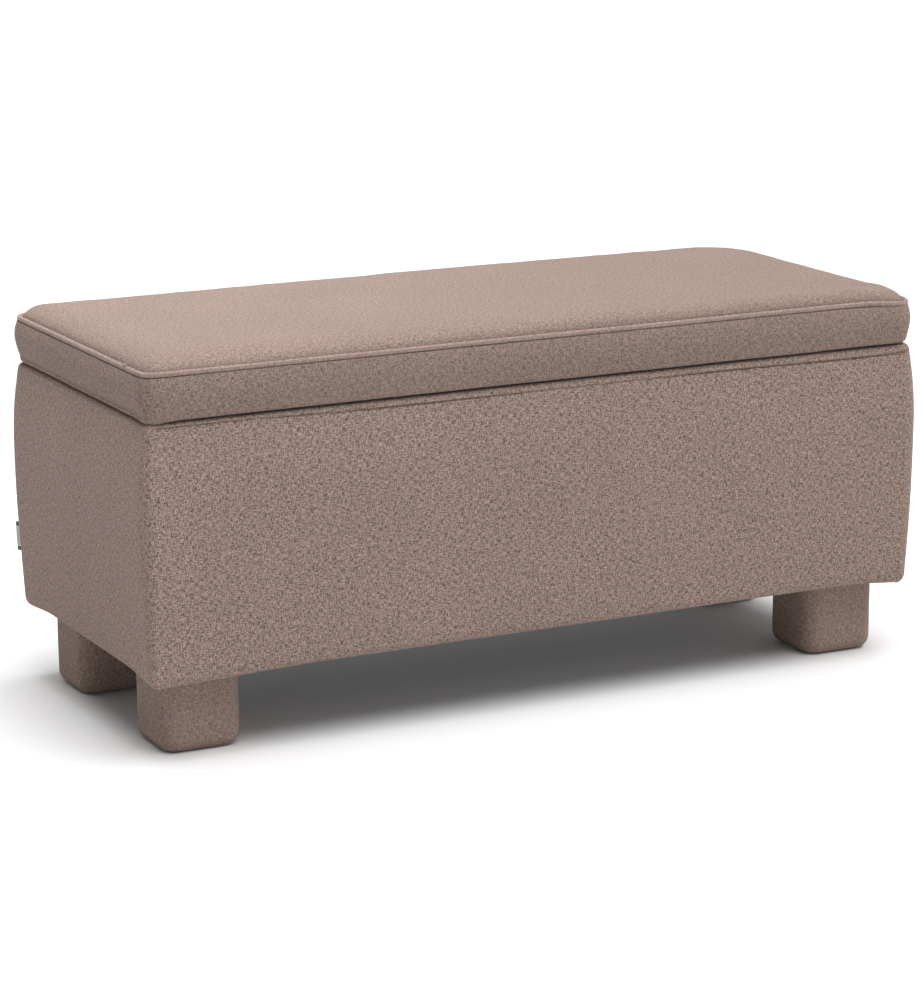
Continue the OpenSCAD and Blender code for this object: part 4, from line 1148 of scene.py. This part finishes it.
class BENCH_OT_piping(bpy.types.Operator):
    """Covered piping along the seam round the lid"""
    bl_idname = "bench.piping"
    bl_label = "Piping"

    def execute(self, context):
        sizes = context.scene.bench_lid
        inset = BOXING_HIGH.x - PIPING_HIGH.x + sizes.piping / 2 + 1.2 * MM
        half_x, half_y = BOXING_HIGH.x - inset, BOXING_HIGH.y - inset
        z = (PIPING_LOW.z + PIPING_HIGH.z) / 2
        others = sizes.corner - inset
        path = rounded_path(half_x, half_y, (sizes.tight - inset, others, others, others), z, 5 * MM)
        join_y = -half_y + 58 * MM
        start = min(range(len(path)), key=lambda i: math.dist(path[i][:2], (-half_x, join_y)))
        path = path[start:] + path[:start]
        overlap = 9 * MM
        tail = []
        for i, (x, y, height) in enumerate(path):
            wave = 0.35 * MM * ripple(x, y, 51.0, 0.09) - corner_droop(x, y)
            tail.append((x, y, height + wave))
        first, last = tail[0], tail[-1]
        # One end of the piping turns down into the seam, and the other lies over it
        head = [(first[0] + inwards * MM, first[1] + overlap * share, z - down * MM)
                for inwards, share, down in ((6.5, 0.9, 4.6), (3.6, 0.5, 3.0), (1.2, 0.2, 1.2))]
        end = [(last[0] + inwards * MM, last[1] - overlap * share, z + up * MM)
               for inwards, share, up in ((-0.8, 0.3, 1.8), (-0.6, 0.7, 2.4), (0.2, 1.0, 2.2))]
        mesh = wire_mesh("piping_path", head + tail + end, closed=False)
        piece = from_tree("lid_piping", piping_tree(), mesh,
                          {"Radius": sizes.piping / 2, "Step": 4 * MM, "Material": finish("piping_cloth")})
        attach(piece, "lid")
        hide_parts("piping_cover", "piping_cord")
        return {"FINISHED"}


# ---- Legs ----

def leg_section(radius, foot, sole, top, wall):
    """Outline of a leg cover from its sole up, over its top edge and down inside; and how much is outside."""
    outside = [(0.5 * MM, sole)]
    outside += arc((radius - foot, sole + foot - 1.6 * MM), foot, -90, 0, 9)
    outside += along_line(outside[-1], (radius, top), 14)
    inner = radius - wall
    inside = [(inner, top)] + along_line((inner, top), (inner, sole + foot), 8)
    inside += arc((radius - foot, sole + foot), foot - wall, 0, -90, 6)[1:]
    return outside + inside, len(outside)


def square_plan(flat, corner_steps, side_steps):
    """Centres and directions round a rounded square: (centre x, centre y, direction x, direction y)."""
    plan = []
    for turn in range(4):
        start = turn * math.pi / 2
        centre = Matrix.Rotation(start, 2) @ Vector((flat, flat))
        for i in range(corner_steps + 1):
            angle = start + math.pi / 2 * i / corner_steps
            plan.append((centre.x, centre.y, math.cos(angle), math.sin(angle)))
        out = Matrix.Rotation(start + math.pi / 2, 2) @ Vector((1, 0))
        along = Matrix.Rotation(math.pi / 2, 2) @ out
        for i in range(1, side_steps):
            place = centre + along * (2 * flat * i / side_steps)
            plan.append((place.x, place.y, out.x, out.y))
    return plan


class BENCH_OT_leg_covers(bpy.types.Operator):
    """Wadded and covered sleeves on the four legs"""
    bl_idname = "bench.leg_covers"
    bl_label = "Leg Covers"

    radius: FloatProperty(name="Corner Radius", description="Radius on a leg's upright edges",
                          default=21 * MM, unit="LENGTH")
    foot: FloatProperty(name="Foot Radius", description="Radius along a leg's lower edges",
                        default=15 * MM, unit="LENGTH")
    wall: FloatProperty(name="Cover and Wadding", description="Thickness of a leg's cover and wadding",
                        default=3.8 * MM, unit="LENGTH")

    def execute(self, context):
        for number, corner in enumerate(("front_left", "front_right", "back_left", "back_right")):
            piece = self.sleeve(number, corner)
            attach(piece, "carcass")
            nodes = ("leg_cover_" + corner,) + (("leg_wadding",) if number == 0 else ())
            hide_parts(*nodes)
        return {"FINISHED"}

    def sleeve(self, number, corner):
        """One closed cup of padded cloth."""
        low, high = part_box("leg_cover_" + corner)
        centre, half = (low + high) / 2, (high.x - low.x) / 2
        section, outer = leg_section(self.radius, self.foot, low.z, high.z - 0.2 * MM, self.wall)
        plan = square_plan(half - self.radius, 8, 12)
        ring, count = len(plan), len(section)
        points = []
        for cx, cy, nx, ny in plan:
            for k, (rho, z) in enumerate(section):
                if k < outer:
                    # Each side of each leg has dents of its own, and none near the floor
                    seed = 61.0 + number * 9 + nx * 2 + ny * 3
                    on_side = ramp(z, low.z + 10 * MM, low.z + 35 * MM)
                    rho += on_side * 0.9 * MM * ripple(cx + cy, z, seed, 0.05)
                points.append((centre.x + cx + rho * nx, centre.y + cy + rho * ny, z))
        rims = [(cx + self.radius * nx, cy + self.radius * ny) for cx, cy, nx, ny in plan]
        girths, rises = running_lengths(rims + rims[:1]), running_lengths(section)
        faces, coordinates = [], []
        for i in range(ring):
            nxt = (i + 1) % ring
            for k in range(count - 1):
                faces.append((i * count + k, nxt * count + k, nxt * count + k + 1, i * count + k + 1))
                coordinates += [(girths[i], rises[k]), (girths[i + 1], rises[k]),
                                (girths[i + 1], rises[k + 1]), (girths[i], rises[k + 1])]
        for k in (0, count - 1):
            face = tuple(i * count + k for i in range(ring))
            faces.append(face)
            coordinates += [points[v][:2] for v in face]
        return add_piece("leg_sleeve_" + corner, points, faces, coordinates, finish("woven_cover_legs"))


# ---- Linings, label and fixings ----

LINING_THICKNESS = 0.8 * MM


def cloth_plate(name, half_x, half_y, z, holes, hole_half, material):
    """A flat stretched cloth with square holes, as a closed thin plate."""
    cuts_x = sorted({-half_x, half_x} | {h[0] + s * hole_half for h in holes for s in (-1, 1)})
    cuts_y = sorted({-half_y, half_y} | {h[1] + s * hole_half for h in holes for s in (-1, 1)})
    xs, ys = fill_steps(cuts_x, 14 * MM), fill_steps(cuts_y, 14 * MM)
    work = bmesh.new()
    layer = work.loops.layers.uv.new("UVMap")
    grid = {}
    for j, y in enumerate(ys):
        for i, x in enumerate(xs):
            grid[i, j] = work.verts.new((x, y, z))
    for j in range(len(ys) - 1):
        for i in range(len(xs) - 1):
            mx, my = (xs[i] + xs[i + 1]) / 2, (ys[j] + ys[j + 1]) / 2
            if any(abs(mx - h[0]) < hole_half and abs(my - h[1]) < hole_half for h in holes):
                continue
            face = work.faces.new((grid[i, j], grid[i + 1, j], grid[i + 1, j + 1], grid[i, j + 1]))
            for loop in face.loops:
                loop[layer].uv = (loop.vert.co.x, loop.vert.co.y)
    loose = [v for v in work.verts if not v.link_faces]
    bmesh.ops.delete(work, geom=loose, context="VERTS")
    mesh = bpy.data.meshes.new(name)
    work.to_mesh(mesh)
    work.free()
    mesh.materials.append(material)
    finish_shading(mesh, 40)
    piece = add_object(name, mesh)
    give_thickness(piece, LINING_THICKNESS)
    return piece


def fill_steps(cuts, step):
    """Adds places between cuts so that none are much more than a step apart."""
    places = [cuts[0]]
    for a, b in zip(cuts, cuts[1:]):
        count = max(1, math.ceil((b - a) / step))
        places += [a + (b - a) * i / count for i in range(1, count + 1)]
    return places


def give_thickness(piece, thickness):
    """Thickens a sheet evenly to both sides into a closed cloth, and keeps the result."""
    modifier = piece.modifiers.new("thickness", "SOLIDIFY")
    modifier.thickness = thickness
    modifier.offset = 0.0
    depsgraph = bpy.context.evaluated_depsgraph_get()
    mesh = bpy.data.meshes.new_from_object(piece.evaluated_get(depsgraph), depsgraph=depsgraph)
    piece.modifiers.clear()
    old = piece.data
    piece.data = mesh
    bpy.data.meshes.remove(old)


class BENCH_OT_linings(bpy.types.Operator):
    """Dust cover under the body, lining under the lid and lining inside the body"""
    bl_idname = "bench.linings"
    bl_label = "Linings"

    def execute(self, context):
        cloth = finish("spunbond_lining")
        self.dust_cover(cloth)
        self.lid_lining(cloth)
        self.inner_lining(cloth)
        return {"FINISHED"}

    def dust_cover(self, cloth):
        """The cloth under the body, cut out round the legs."""
        legs = [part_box("leg_cover_" + c) for c in ("front_left", "front_right", "back_left", "back_right")]
        centres = [((low.x + high.x) / 2, (low.y + high.y) / 2) for low, high in legs]
        hole = (legs[0][1].x - legs[0][0].x) / 2 + 2 * MM
        z = (DUST_LOW.z + DUST_HIGH.z) / 2
        piece = cloth_plate("dust_cover_cloth", DUST_HIGH.x, DUST_HIGH.y, z, centres, hole, cloth)
        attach(piece, "carcass")
        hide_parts("dust_cover")

    def lid_lining(self, cloth):
        """The cloth under the lid's board."""
        z = (LID_LINING_LOW.z + LID_LINING_HIGH.z) / 2
        piece = cloth_plate("lid_lining_cloth", LID_LINING_HIGH.x, LID_LINING_HIGH.y, z, [], 0, cloth)
        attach(piece, "lid")
        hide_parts("lid_lining")

    def inner_lining(self, cloth):
        """One cloth over the floor and up the four walls, across the corner blocks."""
        half_x, half_y = LINING_HIGH.x - 0.6 * MM, LINING_HIGH.y - 0.6 * MM
        floor, top = LINING_LOW.z + 0.5 * MM, LINING_HIGH.z
        # The lining crosses each corner block on a slant
        chamfer = 31 * MM
        plan = [(-half_x + chamfer, -half_y), (half_x - chamfer, -half_y), (half_x, -half_y + chamfer),
                (half_x, half_y - chamfer), (half_x - chamfer, half_y), (-half_x + chamfer, half_y),
                (-half_x, half_y - chamfer), (-half_x, -half_y + chamfer)]
        ring = []
        for a, b in zip(plan, plan[1:] + plan[:1]):
            steps = max(2, round(math.dist(a, b) / (12 * MM)))
            ring += [(a[0] + (b[0] - a[0]) * i / steps, a[1] + (b[1] - a[1]) * i / steps)
                     for i in range(steps)]
        levels = 18
        work = bmesh.new()
        layer = work.loops.layers.uv.new("UVMap")
        rows = []
        distances = running_lengths(ring + ring[:1])
        for level in range(levels + 1):
            share = level / levels
            z = floor + (top - floor) * share
            row = []
            for k, (x, y) in enumerate(ring):
                loose = max(0.0, ripple(distances[k], z, 71.0, 0.15) + 0.15)
                slack = 2.2 * MM * math.sin(math.pi * share) * loose
                if abs(abs(x) - half_x) < 1 * MM:
                    x_slack = slack * x / math.hypot(x, y)
                else:
                    x_slack = 0.0
                y_slack = math.copysign(slack, y) if abs(abs(y) - half_y) < 1 * MM else 0.0
                row.append(work.verts.new((x - x_slack, y - y_slack, z)))
            rows.append(row)
        count = len(ring)
        for lower, upper in zip(rows, rows[1:]):
            for k in range(count):
                nxt = (k + 1) % count
                face = work.faces.new((lower[k], lower[nxt], upper[nxt], upper[k]))
                low, high = lower[k].co.z, upper[k].co.z
                uvs = [(distances[k], low), (distances[k + 1], low), (distances[k + 1], high),
                       (distances[k], high)]
                for loop, uv in zip(face.loops, uvs):
                    loop[layer].uv = uv
        bottom = work.faces.new(list(reversed(rows[0])))
        for loop in bottom.loops:
            loop[layer].uv = (loop.vert.co.x, loop.vert.co.y)
        mesh = bpy.data.meshes.new("inner_lining_cloth")
        work.to_mesh(mesh)
        work.free()
        mesh.materials.append(cloth)
        finish_shading(mesh, 35)
        piece = add_object("inner_lining_cloth", mesh)
        give_thickness(piece, LINING_THICKNESS)
        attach(piece, "carcass")
        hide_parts("inner_lining")


class BENCH_OT_label(bpy.types.Operator):
    """Folded label in the upright seam at the back left"""
    bl_idname = "bench.label"
    bl_label = "Seam Label"

    def execute(self, context):
        sizes = context.scene.bench_body
        # The seam runs down the diagonal of the back left corner
        root = Vector((-BODY_HIGH.x + sizes.corner, BODY_HIGH.y - sizes.corner))
        out = Vector((-1, 1)).normalized()
        beside = Vector((-out.y, out.x))
        tip = (Vector((LABEL_LOW.x, LABEL_HIGH.y)) - root).length - 0.6 * MM
        start = sizes.corner - 9 * MM
        half_gap, thick = 0.32 * MM, 0.5 * MM
        outline = [(start, half_gap + thick), (tip - 1 * MM, half_gap + thick)]
        outline += [(tip - 1 * MM + (half_gap + thick) * math.cos(a), (half_gap + thick) * math.sin(a))
                    for a in (math.radians(t) for t in (60, 30, 0, -30, -60))]
        outline += [(tip - 1 * MM, -half_gap - thick), (start, -half_gap - thick), (start, -half_gap),
                    (tip - 1 * MM, -half_gap), (tip - 1 * MM + half_gap, 0), (tip - 1 * MM, half_gap),
                    (start, half_gap)]
        rows = 12
        low, high = LABEL_LOW.z, LABEL_HIGH.z
        points, count = [], len(outline)
        for level in range(rows + 1):
            share = level / rows
            lean = 0.9 * MM * math.sin(share * math.pi)
            for reach, side in outline:
                # The free edge bends aside, and its lower corner curls in
                free = ramp(reach, start, tip)
                curl = 1.4 * MM * (1 - share) * free
                place = root + out * (reach - curl) + beside * (side + lean * free)
                points.append((place.x, place.y, low + (high - low) * share))
        lengths = running_lengths(outline + outline[:1])
        faces, coordinates = [], []
        for level in range(rows):
            v0, v1 = (high - low) * level / rows, (high - low) * (level + 1) / rows
            for k in range(count):
                nxt = (k + 1) % count
                faces.append((level * count + k, level * count + nxt, (level + 1) * count + nxt,
                              (level + 1) * count + k))
                u0, u1 = lengths[k], lengths[k + 1]
                coordinates += [(u0, v0), (u1, v0), (u1, v1), (u0, v1)]
        faces.append(tuple(reversed(range(count))))
        coordinates += [(outline[k][0], 0.0) for k in reversed(range(count))]
        faces.append(tuple(rows * count + k for k in range(count)))
        coordinates += [(outline[k][0], high - low) for k in range(count)]
        piece = add_piece("seam_label", points, faces, coordinates, finish("woven_label_tape"), 60)
        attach(piece, "carcass")
        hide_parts("side_label")
        return {"FINISHED"}


class BENCH_OT_staples(bpy.types.Operator):
    """Staples that hold the dust cover and the lid's lining"""
    bl_idname = "bench.staples"
    bl_label = "Staples"

    def execute(self, context):
        sizes = context.scene.bench_fixings
        tree = staple_tree()
        values = {"Spacing": sizes.staple_spacing, "Crown": sizes.staple_crown, "Wire": sizes.staple_wire,
                  "Leg": 1.2 * MM, "Material": finish("staple_wire")}
        edge, proud = 7 * MM, 0.2 * MM
        path = wire_mesh("dust_cover_edge",
                         rectangle_path(DUST_HIGH.x - edge, DUST_HIGH.y - edge, DUST_LOW.z - proud))
        under = from_tree("dust_cover_staples", tree, path, values)
        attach(under, "carcass")
        path = wire_mesh("lid_lining_edge",
                         rectangle_path(LID_LINING_HIGH.x - edge, LID_LINING_HIGH.y - edge,
                                        LID_LINING_LOW.z - proud))
        lid = from_tree("lid_lining_staples", tree, path, values)
        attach(lid, "lid")
        return {"FINISHED"}


def rectangle_path(half_x, half_y, z):
    """Points round a rectangle, close enough together that what follows them stays along its sides."""
    corners = [(-half_x, -half_y), (half_x, -half_y), (half_x, half_y), (-half_x, half_y)]
    places = []
    for a, b in zip(corners, corners[1:] + corners[:1]):
        places += along_line(a, b, round(math.dist(a, b) / (6 * MM)))
    return [(x, y, z) for x, y in places]


class BENCH_OT_stitches(bpy.types.Operator):
    """Stitches that hold the turned-down hem inside the rim"""
    bl_idname = "bench.stitches"
    bl_label = "Hem Stitches"

    def execute(self, context):
        sizes, body = context.scene.bench_fixings, context.scene.bench_body
        half_x = WOOD_HIGH.x - body.panel - body.cloth - sizes.thread * 0.2
        half_y = WOOD_HIGH.y - body.panel - body.cloth - sizes.thread * 0.2
        up_from_edge = 5 * MM
        z = BODY_HIGH.z - body.hem + up_from_edge
        path = wire_mesh("hem_line", rectangle_path(half_x, half_y, z))
        piece = from_tree("hem_stitches", stitch_tree(), path,
                          {"Spacing": sizes.stitch_spacing, "Length": sizes.stitch_length,
                           "Thread": sizes.thread, "Material": finish("sewing_thread")})
        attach(piece, "carcass")
        return {"FINISHED"}


class BENCH_OT_hard_parts(bpy.types.Operator):
    """Finishes on the wood, steel, rubber and plastic parts of the CAD frame"""
    bl_idname = "bench.hard_parts"
    bl_label = "Wood and Metal Finishes"

    def execute(self, context):
        finishes = {
            "pine_board_lengthwise": ["bottom_board", "front_panel", "back_panel", "lid_board"],
            "pine_board_crosswise": ["left_end_panel", "right_end_panel"],
            "pine_block": ["corner_blocks", "leg_block_front_left", "leg_block_front_right",
                           "leg_block_back_left", "leg_block_back_right"],
            "zinc_plated_steel": ["frame_screws", "leg_bolts", "t_nuts", "hinge_pins", "lower_leaf_screws",
                                  "upper_leaf_screws", "left_stay_bar", "right_stay_bar", "left_stay_bracket",
                                  "right_stay_bracket", "left_stay_stud", "right_stay_stud",
                                  "stay_bracket_screws", "stay_stud_screws"]
                                 + [f"{place}_hinge_{leaf}_leaf" for place in ("left", "middle", "right")
                                    for leaf in ("lower", "upper")],
            "black_rubber": ["rim_bumpers"],
            "glide_plastic": ["leg_glides"],
        }
        for name, nodes in finishes.items():
            for node in nodes:
                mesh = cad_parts[node].data
                mesh.materials.clear()
                mesh.materials.append(finish(name))
        return {"FINISHED"}


# ---- Stage ----

class BENCH_OT_stage(bpy.types.Operator):
    """Pale floor, soft lights and the camera"""
    bl_idname = "bench.stage"
    bl_label = "Stage"

    def execute(self, context):
        settings = context.scene.bench_stage
        self.floor(settings)
        self.lights(context, settings)
        self.camera(context, settings)
        context.scene.view_settings.view_transform = "Standard"
        return {"FINISHED"}

    def floor(self, settings):
        """A wide plain floor."""
        half = settings.floor_half
        mesh = bpy.data.meshes.new("studio_floor")
        mesh.from_pydata([(-half, -half, 0), (half, -half, 0), (half, half, 0), (-half, half, 0)], [],
                         [(0, 1, 2, 3)])
        mesh.materials.append(finish("studio_paper"))
        piece = add_object("studio_floor", mesh)

    def lights(self, context, settings):
        """A large soft light overhead, a small lamp over the top, and fill that is weaker from the left."""
        middle = Vector((0, 0, CAD_BOX[1].z / 2))
        data = bpy.data.lights.new("overhead_light", "SUN")
        data.energy = settings.key
        data.angle = settings.softness
        lamp = add_object("overhead_light", data)
        lamp.location = settings.key_place
        lamp.rotation_euler = (middle - lamp.location).to_track_quat("-Z", "Y").to_euler()
        data = bpy.data.lights.new("top_light", "AREA")
        data.energy = settings.top
        data.size = settings.top_size
        lamp = add_object("top_light", data)
        lamp.location = settings.top_place
        world = bpy.data.worlds.new("studio_fill")
        world.use_nodes = True
        tree = world.node_tree
        place = add_node(tree, "ShaderNodeTexCoord")
        leftness = add_node(tree, "ShaderNodeVectorMath",
                            {0: place.outputs["Generated"], 1: (-0.95, -0.30, 0.0)}, operation="DOT_PRODUCT")
        fill = add_node(tree, "ShaderNodeMapRange",
                        {"Value": leftness.outputs["Value"], "From Min": 0.1, "From Max": 0.8,
                         "To Min": settings.sky, "To Max": settings.shade}, interpolation_type="SMOOTHSTEP")
        apart = add_node(tree, "ShaderNodeSeparateXYZ", {"Vector": place.outputs["Generated"]})
        low = add_node(tree, "ShaderNodeMapRange",
                       {"Value": apart.outputs["Z"], "From Min": 0.15, "From Max": 0.6,
                        "To Min": settings.horizon, "To Max": settings.zenith},
                       interpolation_type="SMOOTHSTEP")
        strength = add_node(tree, "ShaderNodeMath",
                            {0: fill.outputs["Result"], 1: low.outputs["Result"]}, operation="MULTIPLY")
        background = tree.nodes["Background"]
        background.inputs["Color"].default_value = (1, 1, 1, 1)
        tree.links.new(strength.outputs[0], background.inputs["Strength"])
        context.scene.world = world

    def camera(self, context, settings):
        """The camera, at the bench's left front and a little above it."""
        a, e = settings.azimuth, settings.elevation
        back = Vector((math.sin(a) * math.cos(e), -math.cos(a) * math.cos(e), math.sin(e)))
        target = Vector((0, 0, settings.target))
        data = bpy.data.cameras.new("bench_camera")
        data.lens = settings.lens
        data.shift_x = settings.shift_x
        data.shift_y = settings.shift_y
        camera = add_object("bench_camera", data)
        roll = Matrix.Rotation(settings.roll, 4, "Z")
        turn = (-back).to_track_quat("-Z", "Y").to_matrix().to_4x4() @ roll
        camera.matrix_world = Matrix.Translation(target + back * settings.distance) @ turn
        context.scene.camera = camera


# ---- Panel and registration ----

class BENCH_PT_sidebar(bpy.types.Panel):
    """Lists the steps that build the bench"""
    bl_idname = "BENCH_PT_sidebar"
    bl_label = "Storage Bench"
    bl_space_type = "VIEW_3D"
    bl_region_type = "UI"
    bl_category = "Bench"

    def draw(self, context):
        for operator in OPERATORS:
            self.layout.operator(operator.bl_idname)


SETTINGS = {
    "bench_body": BodySizes,
    "bench_lid": LidSizes,
    "bench_cloth": ClothFinish,
    "bench_fixings": FixingSizes,
    "bench_stage": StageSettings,
}
OPERATORS = (
    BENCH_OT_stage,
    BENCH_OT_padded_sides,
    BENCH_OT_lid_boxing,
    BENCH_OT_lid_top,
    BENCH_OT_piping,
    BENCH_OT_leg_covers,
    BENCH_OT_linings,
    BENCH_OT_label,
    BENCH_OT_staples,
    BENCH_OT_stitches,
    BENCH_OT_hard_parts,
)


def register():
    """Adds the settings, the operators and the panel."""
    for group in SETTINGS.values():
        bpy.utils.register_class(group)
    for operator in OPERATORS:
        bpy.utils.register_class(operator)
    bpy.utils.register_class(BENCH_PT_sidebar)
    for name, group in SETTINGS.items():
        setattr(bpy.types.Scene, name, PointerProperty(type=group))


def unregister():
    """Takes them away again."""
    for name in SETTINGS:
        delattr(bpy.types.Scene, name)
    bpy.utils.unregister_class(BENCH_PT_sidebar)
    for operator in reversed(OPERATORS):
        bpy.utils.unregister_class(operator)
    for group in reversed(SETTINGS.values()):
        bpy.utils.unregister_class(group)


def main():
    """Builds every piece in order."""
    register()
    for operator in OPERATORS:
        group, step = operator.bl_idname.split(".")
        getattr(getattr(bpy.ops, group), step)()


if __name__ == "__main__":
    main()
